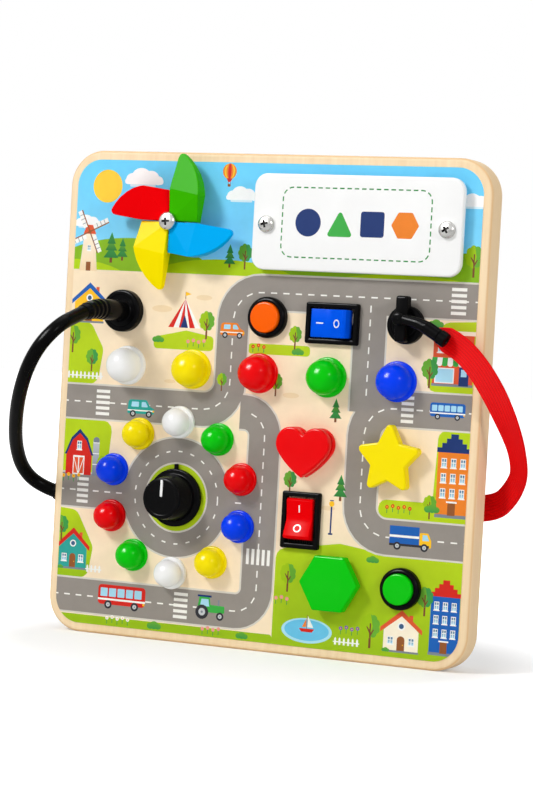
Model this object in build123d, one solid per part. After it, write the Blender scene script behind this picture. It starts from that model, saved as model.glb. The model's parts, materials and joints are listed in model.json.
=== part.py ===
from build123d import *
import math
import os

# Wooden busy board: a printed wooden board with lamps, switches, shape buttons, a
# pinwheel and two plugs on its face, and a moulded housing with the electronics behind.
# Millimetres. It is modelled lying on its back (X right, Y up the board, Z out of its
# face, face at Z = 0, lower edge at Y = 0) and stood upright when it is written.

# ---------------------------------------------------------------- clearances
SEAT = 0.1        # radial clearance of a piece seated in its hole
RUN = 0.06        # radial clearance of a shaft or plunger that moves
SLOT_GAP = 0.25   # gap beside a moving cap, or between a lid and its opening
AIR = 0.3         # gap under a piece that lies on another without touching

# ---------------------------------------------------------------- board
board_width = 178.0
board_height = 190.0
board_thickness = 10.0
board_corner_radius = 14.0
board_front_round = 1.5
board_back_round = 0.8
print_margin = 3.6
print_thickness = 0.25
left_edge = -board_width / 2
right_edge = board_width / 2

# ---------------------------------------------------------------- lamps
large_lamp_y = 106.2
large_lamp_left_inset = 30.5    # middle of the first lamp from the board's left edge
large_lamp_right_inset = 33.5   # middle of the last lamp from its right edge
large_lamp_colours = ["white", "yellow", "red", "green", "blue"]
large_flange_radius = 7.65
large_flange_height = 1.7
large_dome_radius = 6.8
large_dome_lift = 4.2       # centre of the round top above the flange seat
large_stem_radius = 6.0
ring_inset = 54.5           # from the left edge
ring_x = left_edge + ring_inset
ring_y = 56.1
ring_radius = 29.3
ring_colours = ["white", "green", "red", "blue", "yellow"] * 2
small_flange_radius = 6.3
small_flange_height = 1.5
small_dome_radius = 5.4
small_dome_lift = 3.85
small_stem_radius = 4.4
lamp_wall = 1.7
lamp_lip_height = 0.5       # straight lip under the round top
lamp_lip_overhang = 0.45    # how far the lip stands over the neck below it
lamp_stem_depth = 5.0
led_radius = 2.5
led_top_depth = 1.4         # top of the diode below the board's face

# ---------------------------------------------------------------- knob and its control
knob_skirt_radius = 11.2
knob_skirt_height = 1.7
knob_base_radius = 9.1
knob_top_radius = 7.9
knob_height = 12.2
knob_lift = 0.5
knob_nub_length = 1.9
knob_nub_width = 1.4
knob_cavity_radius = 6.4
shaft_radius = 3.0
shaft_flat = 0.6
control_web = 3.0           # wood left in front of the control's pocket
control_radius = 8.2
control_depth = 8.5
control_terminal_length = 6.0
control_terminal_width = 1.2
control_terminal_pitch = 3.2
control_terminal_thickness = 0.8
shaft_tail = 4.0            # how far the shaft runs into the control's case
bush_radius = 3.6
bush_wall = 0.54
nut_flats = 10.0
nut_height = 2.0

# ---------------------------------------------------------------- round push buttons
orange_x = 1.0
orange_y = 127.6
green_inset = 27.3          # from the right edge
green_x = right_edge - green_inset
green_y = 29.3
bezel_radius = 7.9
bezel_height = 3.4
bezel_round = 1.2
bezel_floor = 0.4
cap_radius = 5.85
cap_thickness = 2.4
cap_travel = 1.8
plunger_radius = 3.2
plunger_length = 9.0
neck_radius = 6.4
neck_length = 15.0
switch_foot_radius = 5.4
switch_foot_length = 5.5
panel_nut_flats = 15.0
panel_nut_height = 2.4
spring_radius = 2.4
spring_wire = 0.5
spring_turns = 4

# ---------------------------------------------------------------- rocker switches
blue_rocker_x = 28.0
blue_rocker_y = 126.5
red_rocker_x = 19.5
red_rocker_y = 51.6
rocker_bezel_length = 21.0
rocker_bezel_width = 15.2
rocker_bezel_height = 2.2
rocker_bezel_bevel = 0.7
rocker_bezel_corner = 0.8
rocker_opening_length = 17.2
rocker_opening_width = 11.3
rocker_body_length = 19.0
rocker_body_width = 13.0
rocker_body_depth = 13.5
rocker_half_length = 7.7
rocker_side_gap = 0.3
rocker_pivot_depth = 1.4
rocker_top_lift = 6.0       # rocker's ends above the pivot
rocker_waist_lift = 4.1     # its waist above the pivot
rocker_key_bevel = 0.9
rocker_belly_inset = 0.4
rocker_pin_radius = 1.0
rocker_pin_bite = 0.4       # how far a pivot pin stands in the frame
rocker_half_swing = 8.0     # degrees to each side of level
terminal_width = 4.8
terminal_thickness = 0.8
terminal_length = 6.0
terminal_spread = 5.0

# ---------------------------------------------------------------- shape buttons
heart_x = 20.8
heart_y = 78.0
heart_width = 23.4
star_inset = 32.9           # from the right edge
star_x = right_edge - star_inset
star_y = 78.3
star_radius = 13.9
star_waist = 0.52
star_tip_round = 1.5
hexagon_inset = 54.8        # from the right edge
hexagon_x = right_edge - hexagon_inset
hexagon_y = 29.0
hexagon_radius = 11.9
hexagon_corner = 0.8
shape_travel = 1.2
shape_gap = 1.45            # rest gap under the cap
shape_height = 4.9
shape_top_round = 0.6
shape_wall = 1.8
heart_base_height = 2.4
heart_cap_height = 3.2
post_radius = 3.0
guide_radius = 5.0
guide_collar_height = 0.7
guide_depth = 5.0
pad_height = 2.6
pad_radius = 3.6

# ---------------------------------------------------------------- pinwheel
pinwheel_inset = 49.4       # from the left edge
pinwheel_x = left_edge + pinwheel_inset
pinwheel_y = 162.5
pinwheel_turn = -1.0        # degrees
blade_gap = 0.2
blade_under = 5.6           # underside of the blades above the board's face
blade_root_top = 9.4
blade_peak_top = 11.9
blade_heel_top = 9.6
blade_fold_top = 10.2         # at the fold, on the straight edge
blade_tip_top = 8.3
blade_fold = 12.6           # where the root fold ends, up the sail's straight edge
blade_neck_x = 1.7          # where the rounded tip starts
blade_neck_y = 25.0
blade_tip_x = 2.6
blade_tip_y = 26.3
blade_shoulder_x = 4.0      # where the rounded tip ends and the bow starts
blade_shoulder_y = 25.9
blade_bow_x = 10.6
blade_bow_y = 19.1
blade_peak_x = 13.2
blade_peak_y = 10.6
blade_heel_x = 12.0
hub_radius = 5.2
hub_flange_height = 1.2
hub_bush_radius = 2.4
screw_head_radius = 3.3
screw_head_height = 2.3
screw_shank_radius = 1.5
screw_bite = 8.0

# ---------------------------------------------------------------- white cover plate
plate_left = -5.85          # its left end from the board's middle line
plate_inset = 9.55          # its right end from the board's right edge
plate_width = right_edge - plate_inset - plate_left
plate_x = plate_left + plate_width / 2
plate_y = 164.0
plate_height = 36.6
plate_corner = 5.2
plate_thickness = 2.9
plate_standoff = 1.8
plate_post_radius = 3.4
plate_round = 0.8
plate_screw_inset = 5.85    # from the plate's ends
plate_screw_drop = 1.0

# ---------------------------------------------------------------- sockets and plugs
socket_y = 127.4
left_socket_inset = 27.6    # from the left edge
left_socket_x = left_edge + left_socket_inset
left_socket_radius = 8.2
left_socket_height = 3.9
right_socket_inset = 31.0   # from the right edge
right_socket_x = right_edge - right_socket_inset
right_socket_radius = 7.2
right_socket_height = 3.1
socket_rim_round = 0.6
socket_neck_radius = 4.6
socket_neck_depth = 12.0
pin_radius = 1.75
pin_length = 9.5
barrel_radius = 4.05
barrel_length = 15.5
relief_radius = 3.9
relief_tip_radius = 3.3
relief_rib = 1.5
relief_gap = 1.2
relief_ribs = 4
cable_radius = 2.7
key_length = 17.2
key_width = 4.6
key_height = 4.3
key_offset = 2.1
key_bevel = 0.8
key_corner = 1.0
boss_radius = 2.5
boss_height = 3.2
boss_round = 1.2
arm_lift = 8.4
arm_radius = 1.9
ferrule_radius = 2.35
collar_radius = 2.65
arm_start = 0.9
arm_bend_x = 9.0
arm_bend_y = -1.9
arm_end_x = 18.6
arm_end_y = -7.2
ferrule_length = 6.2
collar_length = 3.4

# ---------------------------------------------------------------- cable and strap routes
grommet_radius = 3.4
grommet_flange = 2.4
grommet_round = 0.6
grommet_neck_radius = 2.6
grommet_neck_length = 9.0
grommet_y = 54.2
grommet_tunnel = 6.0        # how far the hole runs past the housing's wall
cable_points = [              # X from the board's left edge
    (27.6, 127.4, 33.0),
    (27.6, 127.4, 40.8),
    (27.4, 121.6, 49.8),
    (22.2, 112.6, 54.2),
    (13.6, 102.0, 51.4),
    (4.4, 91.2, 42.4),
    (-3.8, 80.4, 30.2),
    (-10.4, 70.6, 17.0),
    (-13.4, 61.8, 6.2),
    (-9.8, 56.2, -1.2),
    (-1.6, 54.2, -4.6),
]
cable_route = [(left_edge + x, y, z) for x, y, z in cable_points]
strap_width = 10.0
strap_thickness = 1.5
strap_points = [              # X from the board's right edge
    (-18.4, 125.0, 5.75),
    (-10.0, 120.6, 5.75),
    (-1.2, 114.4, 6.6),
    (6.2, 105.4, 6.0),
    (11.2, 95.0, 3.0),
    (13.6, 84.5, -1.5),
    (13.2, 74.8, -7.0),
    (9.4, 66.8, -12.8),
    (2.0, 61.8, -17.0),
    (-8.7, 60.3, -18.0),
]
strap_route = [(right_edge + x, y, z) for x, y, z in strap_points]
anchor_margin = 1.2
anchor_corner = 0.8

# ---------------------------------------------------------------- rear housing
housing_inset = 12.0
housing_depth = 16.0
housing_wall = 2.0
housing_corner = 8.0
housing_round = 2.0
rib_thickness = 1.4
rib_height = 3.0
rib_rows = [34.0, 74.0, 112.0]
boss_radius_outer = 3.6
boss_inset = 5.8
boss_screw_radius = 1.45
boss_screw_head = 2.8
boss_screw_head_height = 1.9
boss_counterbore = 9.0
wood_screw_bite = 7.0

# ---------------------------------------------------------------- batteries
cell_radius = 5.25
cell_length = 44.5
cell_nub_radius = 1.9
cell_nub_length = 0.9
cell_count = 3
cell_pitch = 11.4
contact_thickness = 0.4
contact_height = 8.0
contact_spring_length = 3.2
contact_spring_radius = 3.0
bay_y = 156.0
bay_wall = 1.6
door_thickness = 2.4
door_screw_room = 8.5
door_screw_radius = 1.2
door_screw_head = 2.1
door_screw_head_height = 1.2
door_screw_sink = 1.4
door_screw_length = 7.0

# ---------------------------------------------------------------- circuit board
circuit_thickness = 1.6
circuit_edge = 3.2
circuit_screw_radius = 1.2
circuit_screw_head = 2.4
circuit_screw_head_height = 1.4
circuit_screw_bite = 6.0
circuit_screw_inset = 3.0

# ---------------------------------------------------------------- levels
face = print_thickness                    # where flanges sit
back = -board_thickness                   # rear face of the wooden board
housing_back = back - housing_depth
housing_inner_back = housing_back + housing_wall
circuit_back = back - circuit_thickness

BOTTOM = (Align.CENTER, Align.CENTER, Align.MIN)


# ---------------------------------------------------------------- helpers
def rod(radius, low, high):
    """A round bar on the local origin between two heights."""
    return Pos(0, 0, low) * Cylinder(radius, high - low, align=BOTTOM)


def block(size_x, size_y, low, high):
    """A rectangular block on the local origin between two heights."""
    return Pos(0, 0, low) * Box(size_x, size_y, high - low, align=BOTTOM)


def slab(size_x, size_y, radius, low, high):
    """A plate with round corners between two heights."""
    return extrude(Pos(0, 0, low) * RectangleRounded(size_x, size_y, radius), high - low)


def hex_bar(across_flats, low, high):
    """A hexagonal bar between two heights."""
    return extrude(Pos(0, 0, low) * RegularPolygon(across_flats / 2, 6, major_radius=False), high - low)


def edges_at(solid, height):
    """The edges of a solid that lie flat at one height."""
    return solid.edges().filter_by_position(Axis.Z, height - 0.001, height + 0.001)


def turned(profile):
    """A solid of revolution about Z; profile is a closed wire of (radius, height)."""
    return revolve(Plane.XZ * make_face(profile), Axis.Z)


def pan_screw(head_radius, head_height, shank_radius, seat, bite):
    """A domed screw whose head sits at one height, with its shank below it."""
    head = rod(head_radius, seat, seat + head_height)
    head = fillet(edges_at(head, seat + head_height), head_height * 0.6)
    return head + rod(shank_radius, seat - bite, seat)


# ---------------------------------------------------------------- places
large_lamp_first_x = left_edge + large_lamp_left_inset
large_lamp_last_x = right_edge - large_lamp_right_inset
large_lamp_pitch = (large_lamp_last_x - large_lamp_first_x) / (len(large_lamp_colours) - 1)
large_lamp_places = [
    (large_lamp_first_x + large_lamp_pitch * i, large_lamp_y) for i in range(len(large_lamp_colours))
]
ring_step = 2 * math.pi / len(ring_colours)
ring_places = [
    (ring_x + ring_radius * math.sin(ring_step * i), ring_y + ring_radius * math.cos(ring_step * i))
    for i in range(len(ring_colours))
]
button_places = [(orange_x, orange_y), (green_x, green_y)]
shape_places = [(heart_x, heart_y), (star_x, star_y), (hexagon_x, hexagon_y)]
plate_screw_places = [
    (plate_x + side * (plate_width / 2 - plate_screw_inset), plate_y - plate_screw_drop) for side in (-1, 1)
]

housing_width = board_width - 2 * housing_inset
housing_height = board_height - housing_inset
boss_x = housing_width / 2 - boss_inset
boss_rows = [boss_inset + 1.2, housing_height / 2, housing_height - boss_inset - 1.2]
boss_places = [(side * boss_x, row) for row in boss_rows for side in (-1, 1)]

circuit_left = min(ring_x - ring_radius, large_lamp_first_x) - circuit_edge
circuit_right = large_lamp_places[-1][0] + led_radius + circuit_edge
circuit_low = ring_y - ring_radius - circuit_edge - led_radius
circuit_high = large_lamp_y + led_radius + circuit_edge
circuit_screw_places = [
    (large_lamp_first_x + large_lamp_pitch / 2, circuit_high - circuit_screw_inset),
    (large_lamp_places[-1][0] - large_lamp_pitch / 2, circuit_high - circuit_screw_inset),
    (circuit_left + circuit_screw_inset, circuit_low + circuit_screw_inset),
    ((hexagon_x + green_x) / 2, circuit_low + circuit_screw_inset),
]


# ---------------------------------------------------------------- wooden board and print
def board_cutters():
    """Everything that is drilled or routed out of the wooden board."""
    through = (back - 1, 1)
    cuts = []
    for x, y in large_lamp_places:
        cuts.append(Pos(x, y) * rod(large_stem_radius + SEAT, *through))
    for x, y in ring_places:
        cuts.append(Pos(x, y) * rod(small_stem_radius + SEAT, *through))
    for x, y in button_places:
        cuts.append(Pos(x, y) * rod(neck_radius + SEAT, *through))
    for x, y in shape_places:
        cuts.append(Pos(x, y) * rod(guide_radius + SEAT, *through))
    for x in (left_socket_x, right_socket_x):
        cuts.append(Pos(x, socket_y) * rod(socket_neck_radius + SEAT, *through))
    body_length = rocker_body_length + 2 * SEAT
    body_width = rocker_body_width + 2 * SEAT
    cuts.append(Pos(blue_rocker_x, blue_rocker_y) * block(body_length, body_width, *through))
    cuts.append(Pos(red_rocker_x, red_rocker_y) * block(body_width, body_length, *through))
    cuts.append(Pos(ring_x, ring_y) * rod(bush_radius + SEAT, *through))
    cuts.append(Pos(ring_x, ring_y) * rod(control_radius + AIR, back - 1, -control_web))
    for x, y in plate_screw_places:
        cuts.append(Pos(x, y) * rod(screw_shank_radius + RUN, -screw_bite - 0.5, 1))
    cuts.append(Pos(pinwheel_x, pinwheel_y) * rod(screw_shank_radius + RUN, -screw_bite - 0.5, 1))
    for x, y in boss_places:
        cuts.append(Pos(x, y) * rod(boss_screw_radius + RUN, back - 1, back + wood_screw_bite + 0.5))
    for x, y in circuit_screw_places:
        cuts.append(Pos(x, y) * rod(circuit_screw_radius + RUN, back - 1, back + circuit_screw_bite))
    side_hole = Plane((left_edge - 1, grommet_y, back / 2), z_dir=(1, 0, 0))
    reach = housing_inset + housing_wall + grommet_tunnel
    cuts.append(side_hole * rod(grommet_neck_radius + SEAT, 0, reach))
    channel = Pos(left_edge + reach - grommet_neck_radius, grommet_y)
    cuts.append(channel * rod(grommet_radius, back - 1, back / 2 + grommet_neck_radius))
    return cuts


def make_board():
    """The wooden board with rounded edges, drilled for every piece on its face."""
    board = slab(board_width, board_height, board_corner_radius, back, 0)
    board = fillet(edges_at(board, 0), board_front_round)
    board = fillet(edges_at(board, back), board_back_round)
    board = Pos(0, board_height / 2) * board
    return board - board_cutters()


def make_print():
    """The printed sheet, a thin layer with the same holes as the board's face."""
    sheet = slab(
        board_width - 2 * print_margin,
        board_height - 2 * print_margin,
        board_corner_radius - print_margin,
        0,
        print_thickness,
    )
    sheet = Pos(0, board_height / 2) * sheet
    return sheet - board_cutters()


# ---------------------------------------------------------------- lamps
def make_lens(flange_radius, flange_height, dome_radius, dome_lift, stem_radius):
    """A hollow moulded lens: stem, flange and round top, open at its lower end."""
    bore = stem_radius - lamp_wall
    centre = face + dome_lift
    low = -lamp_stem_depth
    rim = face + flange_height
    soft = flange_height * 0.45
    neck = dome_radius - lamp_lip_overhang
    lip = centre - lamp_lip_height
    inner_top = centre + dome_radius - lamp_wall * 1.3
    profile = [
        Polyline((bore, low), (stem_radius, low), (stem_radius, face), (flange_radius, face),
                 (flange_radius, rim - soft)),
        RadiusArc((flange_radius, rim - soft), (flange_radius - soft, rim), -soft),
        Polyline((flange_radius - soft, rim), (neck, rim), (neck, lip), (dome_radius, lip),
                 (dome_radius, centre)),
        RadiusArc((dome_radius, centre), (0, centre + dome_radius), -dome_radius),
        Line((0, centre + dome_radius), (0, inner_top)),
        ThreePointArc((0, inner_top), (bore * 0.72, inner_top - bore * 0.3), (bore, inner_top - bore)),
        Line((bore, inner_top - bore), (bore, low)),
    ]
    return turned(profile)


def make_leds():
    """The diodes that stand on the circuit board under every lens."""
    leds = []
    for x, y in large_lamp_places + ring_places:
        shape = rod(led_radius, back, -led_top_depth - led_radius)
        shape += Pos(0, 0, -led_top_depth - led_radius) * Sphere(led_radius, 0, 90)
        leds.append(Pos(x, y) * shape)
    return leds


# ---------------------------------------------------------------- knob
def make_knob():
    """The turning knob: skirt with a pointer nub, tapered grip and hollow underside."""
    low = face + knob_lift
    rim = low + knob_skirt_height
    top = low + knob_height
    grip = loft([
        Pos(0, 0, rim) * Circle(knob_base_radius),
        Pos(0, 0, top) * Circle(knob_top_radius),
    ])
    grip = fillet(edges_at(grip, top), 0.6)
    skirt = rod(knob_skirt_radius, low, rim)
    skirt = chamfer(edges_at(skirt, rim), 0.6)
    nub_reach = knob_skirt_radius + knob_nub_length
    nub = Pos(0, nub_reach / 2) * block(knob_nub_width, nub_reach, low, rim - 0.4)
    knob = skirt + grip + nub
    knob -= rod(knob_cavity_radius, low - 1, face + nut_height + 1.4)
    knob -= keyed_shaft(shaft_radius + SEAT, low, top - 2.0)
    return Pos(ring_x, ring_y) * knob


def keyed_shaft(radius, low, high):
    """A round shaft with one flat along it."""
    cut = Pos(0, shaft_flat - 2 * radius) * block(4 * radius, 2 * radius, low - 1, high + 1)
    return rod(radius, low, high) - cut


def make_shaft():
    """The control's shaft, from inside its case to inside the knob."""
    top = face + knob_lift + knob_height - 2.0 - AIR
    flat_from = face + nut_height + 1.4
    tail = -control_web - shaft_tail
    shaft = rod(shaft_radius, tail, flat_from) + keyed_shaft(shaft_radius, flat_from, top)
    return Pos(ring_x, ring_y) * shaft


def make_control_case():
    """The rotary control's case with its bush and three terminals."""
    case = rod(control_radius, -control_web - control_depth, -control_web)
    case += rod(bush_radius, -control_web, face + nut_height + 0.7)
    low = -control_web - control_depth
    for side in (-1, 0, 1):
        case += Pos(side * control_terminal_pitch, -control_radius) * block(
            control_terminal_width, control_terminal_length, low, low + control_terminal_thickness
        )
    case -= rod(shaft_radius + RUN, -control_web - shaft_tail - AIR, face + nut_height + 1)
    return Pos(ring_x, ring_y) * case


def make_control_nut():
    """The hexagonal nut that holds the control to the board, hidden by the knob."""
    nut = hex_bar(nut_flats, face, face + nut_height)
    nut -= rod(bush_radius + RUN, face - 1, face + nut_height + 1)
    return Pos(ring_x, ring_y) * nut


# ---------------------------------------------------------------- push buttons
def make_button_case():
    """A push button's bezel, threaded neck and foot, open for its cap and plunger."""
    rim = face + bezel_height
    foot = face - neck_length
    bezel = rod(bezel_radius, face, rim)
    bezel = fillet(edges_at(bezel, rim), bezel_round)
    case = bezel + rod(neck_radius, foot, face) + rod(switch_foot_radius, foot - switch_foot_length, foot)
    for side in (-1, 1):
        case += Pos(side * 2.6, 0) * block(
            0.6, 2.6, foot - switch_foot_length - 3.0, foot - switch_foot_length
        )
    case -= rod(cap_radius + SLOT_GAP, face + bezel_floor, rim + 1)
    case -= rod(plunger_radius + RUN, spring_seat(), rim)
    return case


def cap_underside():
    """Height of a push button cap's underside at rest."""
    return face + bezel_floor + cap_travel + SLOT_GAP


def plunger_end():
    """Height of the plunger's lower end at rest."""
    return cap_underside() - plunger_length


def spring_seat():
    """Height of the floor that a push button's spring stands on."""
    return face - neck_length + 0.6


def make_button_cap():
    """A push button's coloured cap and the plunger under it."""
    low = cap_underside()
    cap = rod(cap_radius, low, low + cap_thickness)
    cap = fillet(edges_at(cap, low + cap_thickness), 0.7)
    return cap + rod(plunger_radius, plunger_end(), low)


def make_button_spring():
    """The coil spring between the plunger and the floor of the neck."""
    low = spring_seat() + spring_wire / 2 + 0.05
    high = plunger_end() - spring_wire / 2 - 0.05
    path = Pos(0, 0, low) * Helix((high - low) / spring_turns, high - low, spring_radius)
    wire_plane = Plane(path @ 0, z_dir=path % 0)
    coil = sweep(wire_plane * Rectangle(spring_wire, spring_wire), path=path, is_frenet=True)
    return coil


def make_panel_nuts():
    """The nuts behind the board that hold the two push buttons."""
    nuts = []
    for x, y in button_places:
        nut = hex_bar(panel_nut_flats, back - panel_nut_height, back)
        nut -= rod(neck_radius + RUN, back - panel_nut_height - 1, back + 1)
        nuts.append(Pos(x, y) * nut)
    return nuts


# ---------------------------------------------------------------- rocker switches
def make_rocker_frame():
    """A rocker switch's frame and case, long side along X, with two tab terminals."""
    rim = face + rocker_bezel_height
    floor = face - rocker_body_depth
    bezel = slab(rocker_bezel_length, rocker_bezel_width, rocker_bezel_corner, face, rim)
    bezel = chamfer(edges_at(bezel, rim), rocker_bezel_bevel)
    frame = bezel + block(rocker_body_length, rocker_body_width, floor, face)
    for side in (-1, 1):
        frame += Pos(side * terminal_spread, 0) * block(
            terminal_thickness, terminal_width, floor - terminal_length, floor
        )
    frame -= block(rocker_opening_length, rocker_opening_width, -rocker_pivot_depth, rim + 1)
    tub = Plane.XZ.offset(-rocker_opening_width / 2) * Circle(rocker_opening_length / 2)
    frame -= Pos(0, 0, -rocker_pivot_depth) * extrude(tub, rocker_opening_width)
    reach = rocker_opening_width / 2 + rocker_pin_bite + 2 * SEAT
    pivot = Plane.XZ.offset(-reach) * Circle(rocker_pin_radius + RUN)
    frame -= Pos(0, 0, -rocker_pivot_depth) * extrude(pivot, 2 * reach)
    return frame


def make_rocker(tilt):
    """The rocking key with a waisted top, a round belly and two pivot pins."""
    half = rocker_half_length
    width = rocker_opening_width - 2 * rocker_side_gap
    bevel = rocker_key_bevel
    outline = Polyline(
        (-half, 0), (-half, rocker_top_lift - bevel), (-half + bevel, rocker_top_lift),
        (0, rocker_waist_lift), (half - bevel, rocker_top_lift), (half, rocker_top_lift - bevel),
        (half, 0), close=True,
    )
    key = extrude(Plane.XZ.offset(-width / 2) * make_face(outline), width)
    belly_radius = half - rocker_belly_inset
    belly = extrude(Plane.XZ.offset(-width / 2) * Circle(belly_radius), width)
    belly -= Pos(0, 0, 0) * block(4 * half, 2 * width, 0, 4 * half)
    belly -= block(4 * half, 2 * width, -4 * half, -belly_radius * 0.62)
    reach = rocker_opening_width / 2 + rocker_pin_bite
    pins = extrude(Plane.XZ.offset(-reach) * Circle(rocker_pin_radius), 2 * reach)
    return Pos(0, 0, -rocker_pivot_depth) * Rot(0, tilt, 0) * (key + belly + pins)


# ---------------------------------------------------------------- shape buttons
def heart_outline(grow=0.0):
    """A heart about the origin, its full width set by heart_width."""
    half = heart_width / 2 + grow
    lobe = half * 0.53
    lobe_y = half * 0.23
    reach = half - lobe
    tip = (0, -half * 0.86)
    foot = (half * 0.05, tip[1] + half * 0.035)
    side_angle = math.radians(-38)
    side = (reach + lobe * math.cos(side_angle), lobe_y + lobe * math.sin(side_angle))
    notch_x = reach - math.sqrt(max(lobe * lobe - (lobe * 0.72) ** 2, 0.0))
    notch_y = lobe_y + lobe * 0.72
    crown = (reach, lobe_y + lobe)
    notch = (0, notch_y - notch_x * 0.9)
    right = [
        Line(notch, (notch_x, notch_y)),
        ThreePointArc((notch_x, notch_y), (crown[0] - 0.15 * lobe, crown[1] - 0.011 * lobe), crown),
        ThreePointArc(crown, (reach + lobe, lobe_y), side),
        ThreePointArc(side, (side[0] * 0.56, (side[1] + tip[1]) / 2 - half * 0.035), foot),
        Line(foot, tip),
    ]
    face_right = make_face(Curve() + right + Line(tip, notch))
    return face_right + mirror(face_right, Plane.YZ)


def star_outline(grow=0.0):
    """A five-pointed star with rounded tips."""
    outer = star_radius + grow
    points = []
    for i in range(10):
        reach = outer if i % 2 == 0 else outer * star_waist
        angle = math.pi / 2 + i * math.pi / 5
        points.append((reach * math.cos(angle), reach * math.sin(angle)))
    star = make_face(Polyline(*points, close=True))
    tips = star.vertices().filter_by(lambda v: math.hypot(v.X, v.Y) > outer * 0.8)
    return fillet(tips, star_tip_round)


def hexagon_outline(grow=0.0):
    """A hexagon with a corner to each side and softly rounded corners."""
    shape = RegularPolygon(hexagon_radius + grow, 6)
    return fillet(shape.vertices(), hexagon_corner)


def make_shape_cap(outline, low, height):
    """A hollow cap with a round post under its middle."""
    top = low + height
    cap = extrude(Pos(0, 0, low) * outline(), height)
    cap = fillet(edges_at(cap, top), shape_top_round)
    cap -= extrude(Pos(0, 0, low) * outline(-shape_wall), height - shape_wall)
    return cap + rod(post_radius, back + pad_height, top - shape_wall)


def make_guide(outline=None):
    """The bush that guides a cap's post, with a collar or a shaped base on the board."""
    if outline is None:
        star_inner_waist = (star_radius - shape_wall) * star_waist
        head = rod(star_inner_waist - AIR, face, face + guide_collar_height)
    else:
        head = extrude(Pos(0, 0, face) * outline(), heart_base_height)
        head = fillet(edges_at(head, face + heart_base_height), 0.4)
    bush = head + rod(guide_radius, -guide_depth, face)
    return bush - rod(post_radius + RUN, -guide_depth - 1, face + heart_base_height + 1)


def make_pads():
    """The rubber pads on the circuit board that lift the three caps back."""
    pads = []
    for x, y in shape_places:
        pad = loft([
            Pos(0, 0, back) * Circle(pad_radius),
            Pos(0, 0, back + pad_height) * Circle(post_radius * 0.8),
        ])
        pads.append(Pos(x, y) * pad)
    return pads


# ---------------------------------------------------------------- pinwheel
def blade_outline():
    """One sail: straight root and leading edges, bowed outer edge, rounded tip."""
    gap = blade_gap
    neck = (blade_neck_x, blade_neck_y)
    shoulder = (blade_shoulder_x, blade_shoulder_y)
    peak = (blade_peak_x, blade_peak_y)
    return make_face([
        Line((gap, gap), (gap, blade_fold)),
        Line((gap, blade_fold), neck),
        ThreePointArc(neck, (blade_tip_x, blade_tip_y), shoulder),
        ThreePointArc(shoulder, (blade_bow_x, blade_bow_y), peak),
        Line(peak, (blade_heel_x, gap)),
        Line((blade_heel_x, gap), (gap, gap)),
    ])


def plane_through(a, b, c):
    """The plane through three points, its normal pointing up."""
    a, b, c = Vector(*a), Vector(*b), Vector(*c)
    normal = (b - a).cross(c - a)
    if normal.Z < 0:
        normal = -normal
    return Plane(a, z_dir=normal)


def make_blade(angle):
    """A faceted sail: three flat facets meet at the peak on its outer edge."""
    root = (0, 0, face + blade_root_top)
    fold = (0, blade_fold, face + blade_fold_top)
    peak = (blade_peak_x, blade_peak_y, face + blade_peak_top)
    heel = (blade_heel_x, 0, face + blade_heel_top)
    tip = (blade_tip_x, blade_tip_y, face + blade_tip_top)
    low = face + blade_under
    blade = extrude(Pos(0, 0, low) * blade_outline(), blade_peak_top)
    for plane in (plane_through(root, fold, peak), plane_through(root, peak, heel),
                  plane_through(fold, peak, tip)):
        blade = split(blade, bisect_by=plane, keep=Keep.BOTTOM)
    blade -= rod(hub_bush_radius + SEAT, 0, 4 * blade_peak_top)
    blade -= rod(screw_head_radius + SLOT_GAP, face + blade_root_top, 4 * blade_peak_top)
    return Pos(pinwheel_x, pinwheel_y) * Rot(0, 0, angle + pinwheel_turn) * blade


def make_hub():
    """The hub: a flange under the sails and a bush through them, running on the screw."""
    low = face + AIR
    under = face + blade_under
    hub = rod(hub_bush_radius, low, face + blade_root_top)
    hub += rod(hub_radius, under - hub_flange_height, under)
    hub -= rod(screw_shank_radius + RUN, low - 1, 3 * blade_peak_top)
    return Pos(pinwheel_x, pinwheel_y) * hub


# ---------------------------------------------------------------- cover plate
def make_cover_plate():
    """The plain cover plate on two moulded posts."""
    low = face + plate_standoff
    top = low + plate_thickness
    plate = slab(plate_width, plate_height, plate_corner, low, top)
    plate = fillet(edges_at(plate, top), plate_round)
    plate = Pos(plate_x, plate_y) * plate
    for x, y in plate_screw_places:
        plate += Pos(x, y) * rod(plate_post_radius, face, low)
        plate -= Pos(x, y) * rod(screw_shank_radius + SEAT, face - 1, top + 1)
    return plate


# ---------------------------------------------------------------- sockets and plugs
def make_socket(x, radius, height):
    """A round socket with a neck through the board and a bore for the plug's pin."""
    socket = rod(radius, face, face + height)
    socket = fillet(edges_at(socket, face + height), socket_rim_round)
    socket += rod(socket_neck_radius, face - socket_neck_depth, face)
    socket -= rod(pin_radius + RUN, face + height - pin_length - AIR, face + height + 1)
    return Pos(x, socket_y) * socket


def make_left_plug():
    """The straight plug: pin, barrel and ribbed strain relief."""
    low = face + left_socket_height
    plug = rod(pin_radius, low - pin_length, low)
    barrel = rod(barrel_radius, low, low + barrel_length)
    plug += barrel
    level = low + barrel_length
    for i in range(relief_ribs):
        share = i / (relief_ribs - 1)
        radius = relief_radius + (relief_tip_radius - relief_radius) * share
        plug += rod(cable_radius, level, level + relief_gap)
        plug += rod(radius, level + relief_gap, level + relief_gap + relief_rib)
        level += relief_gap + relief_rib
    plug += rod(cable_radius, level, cable_route[0][2])
    return Pos(left_socket_x, socket_y) * plug


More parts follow.
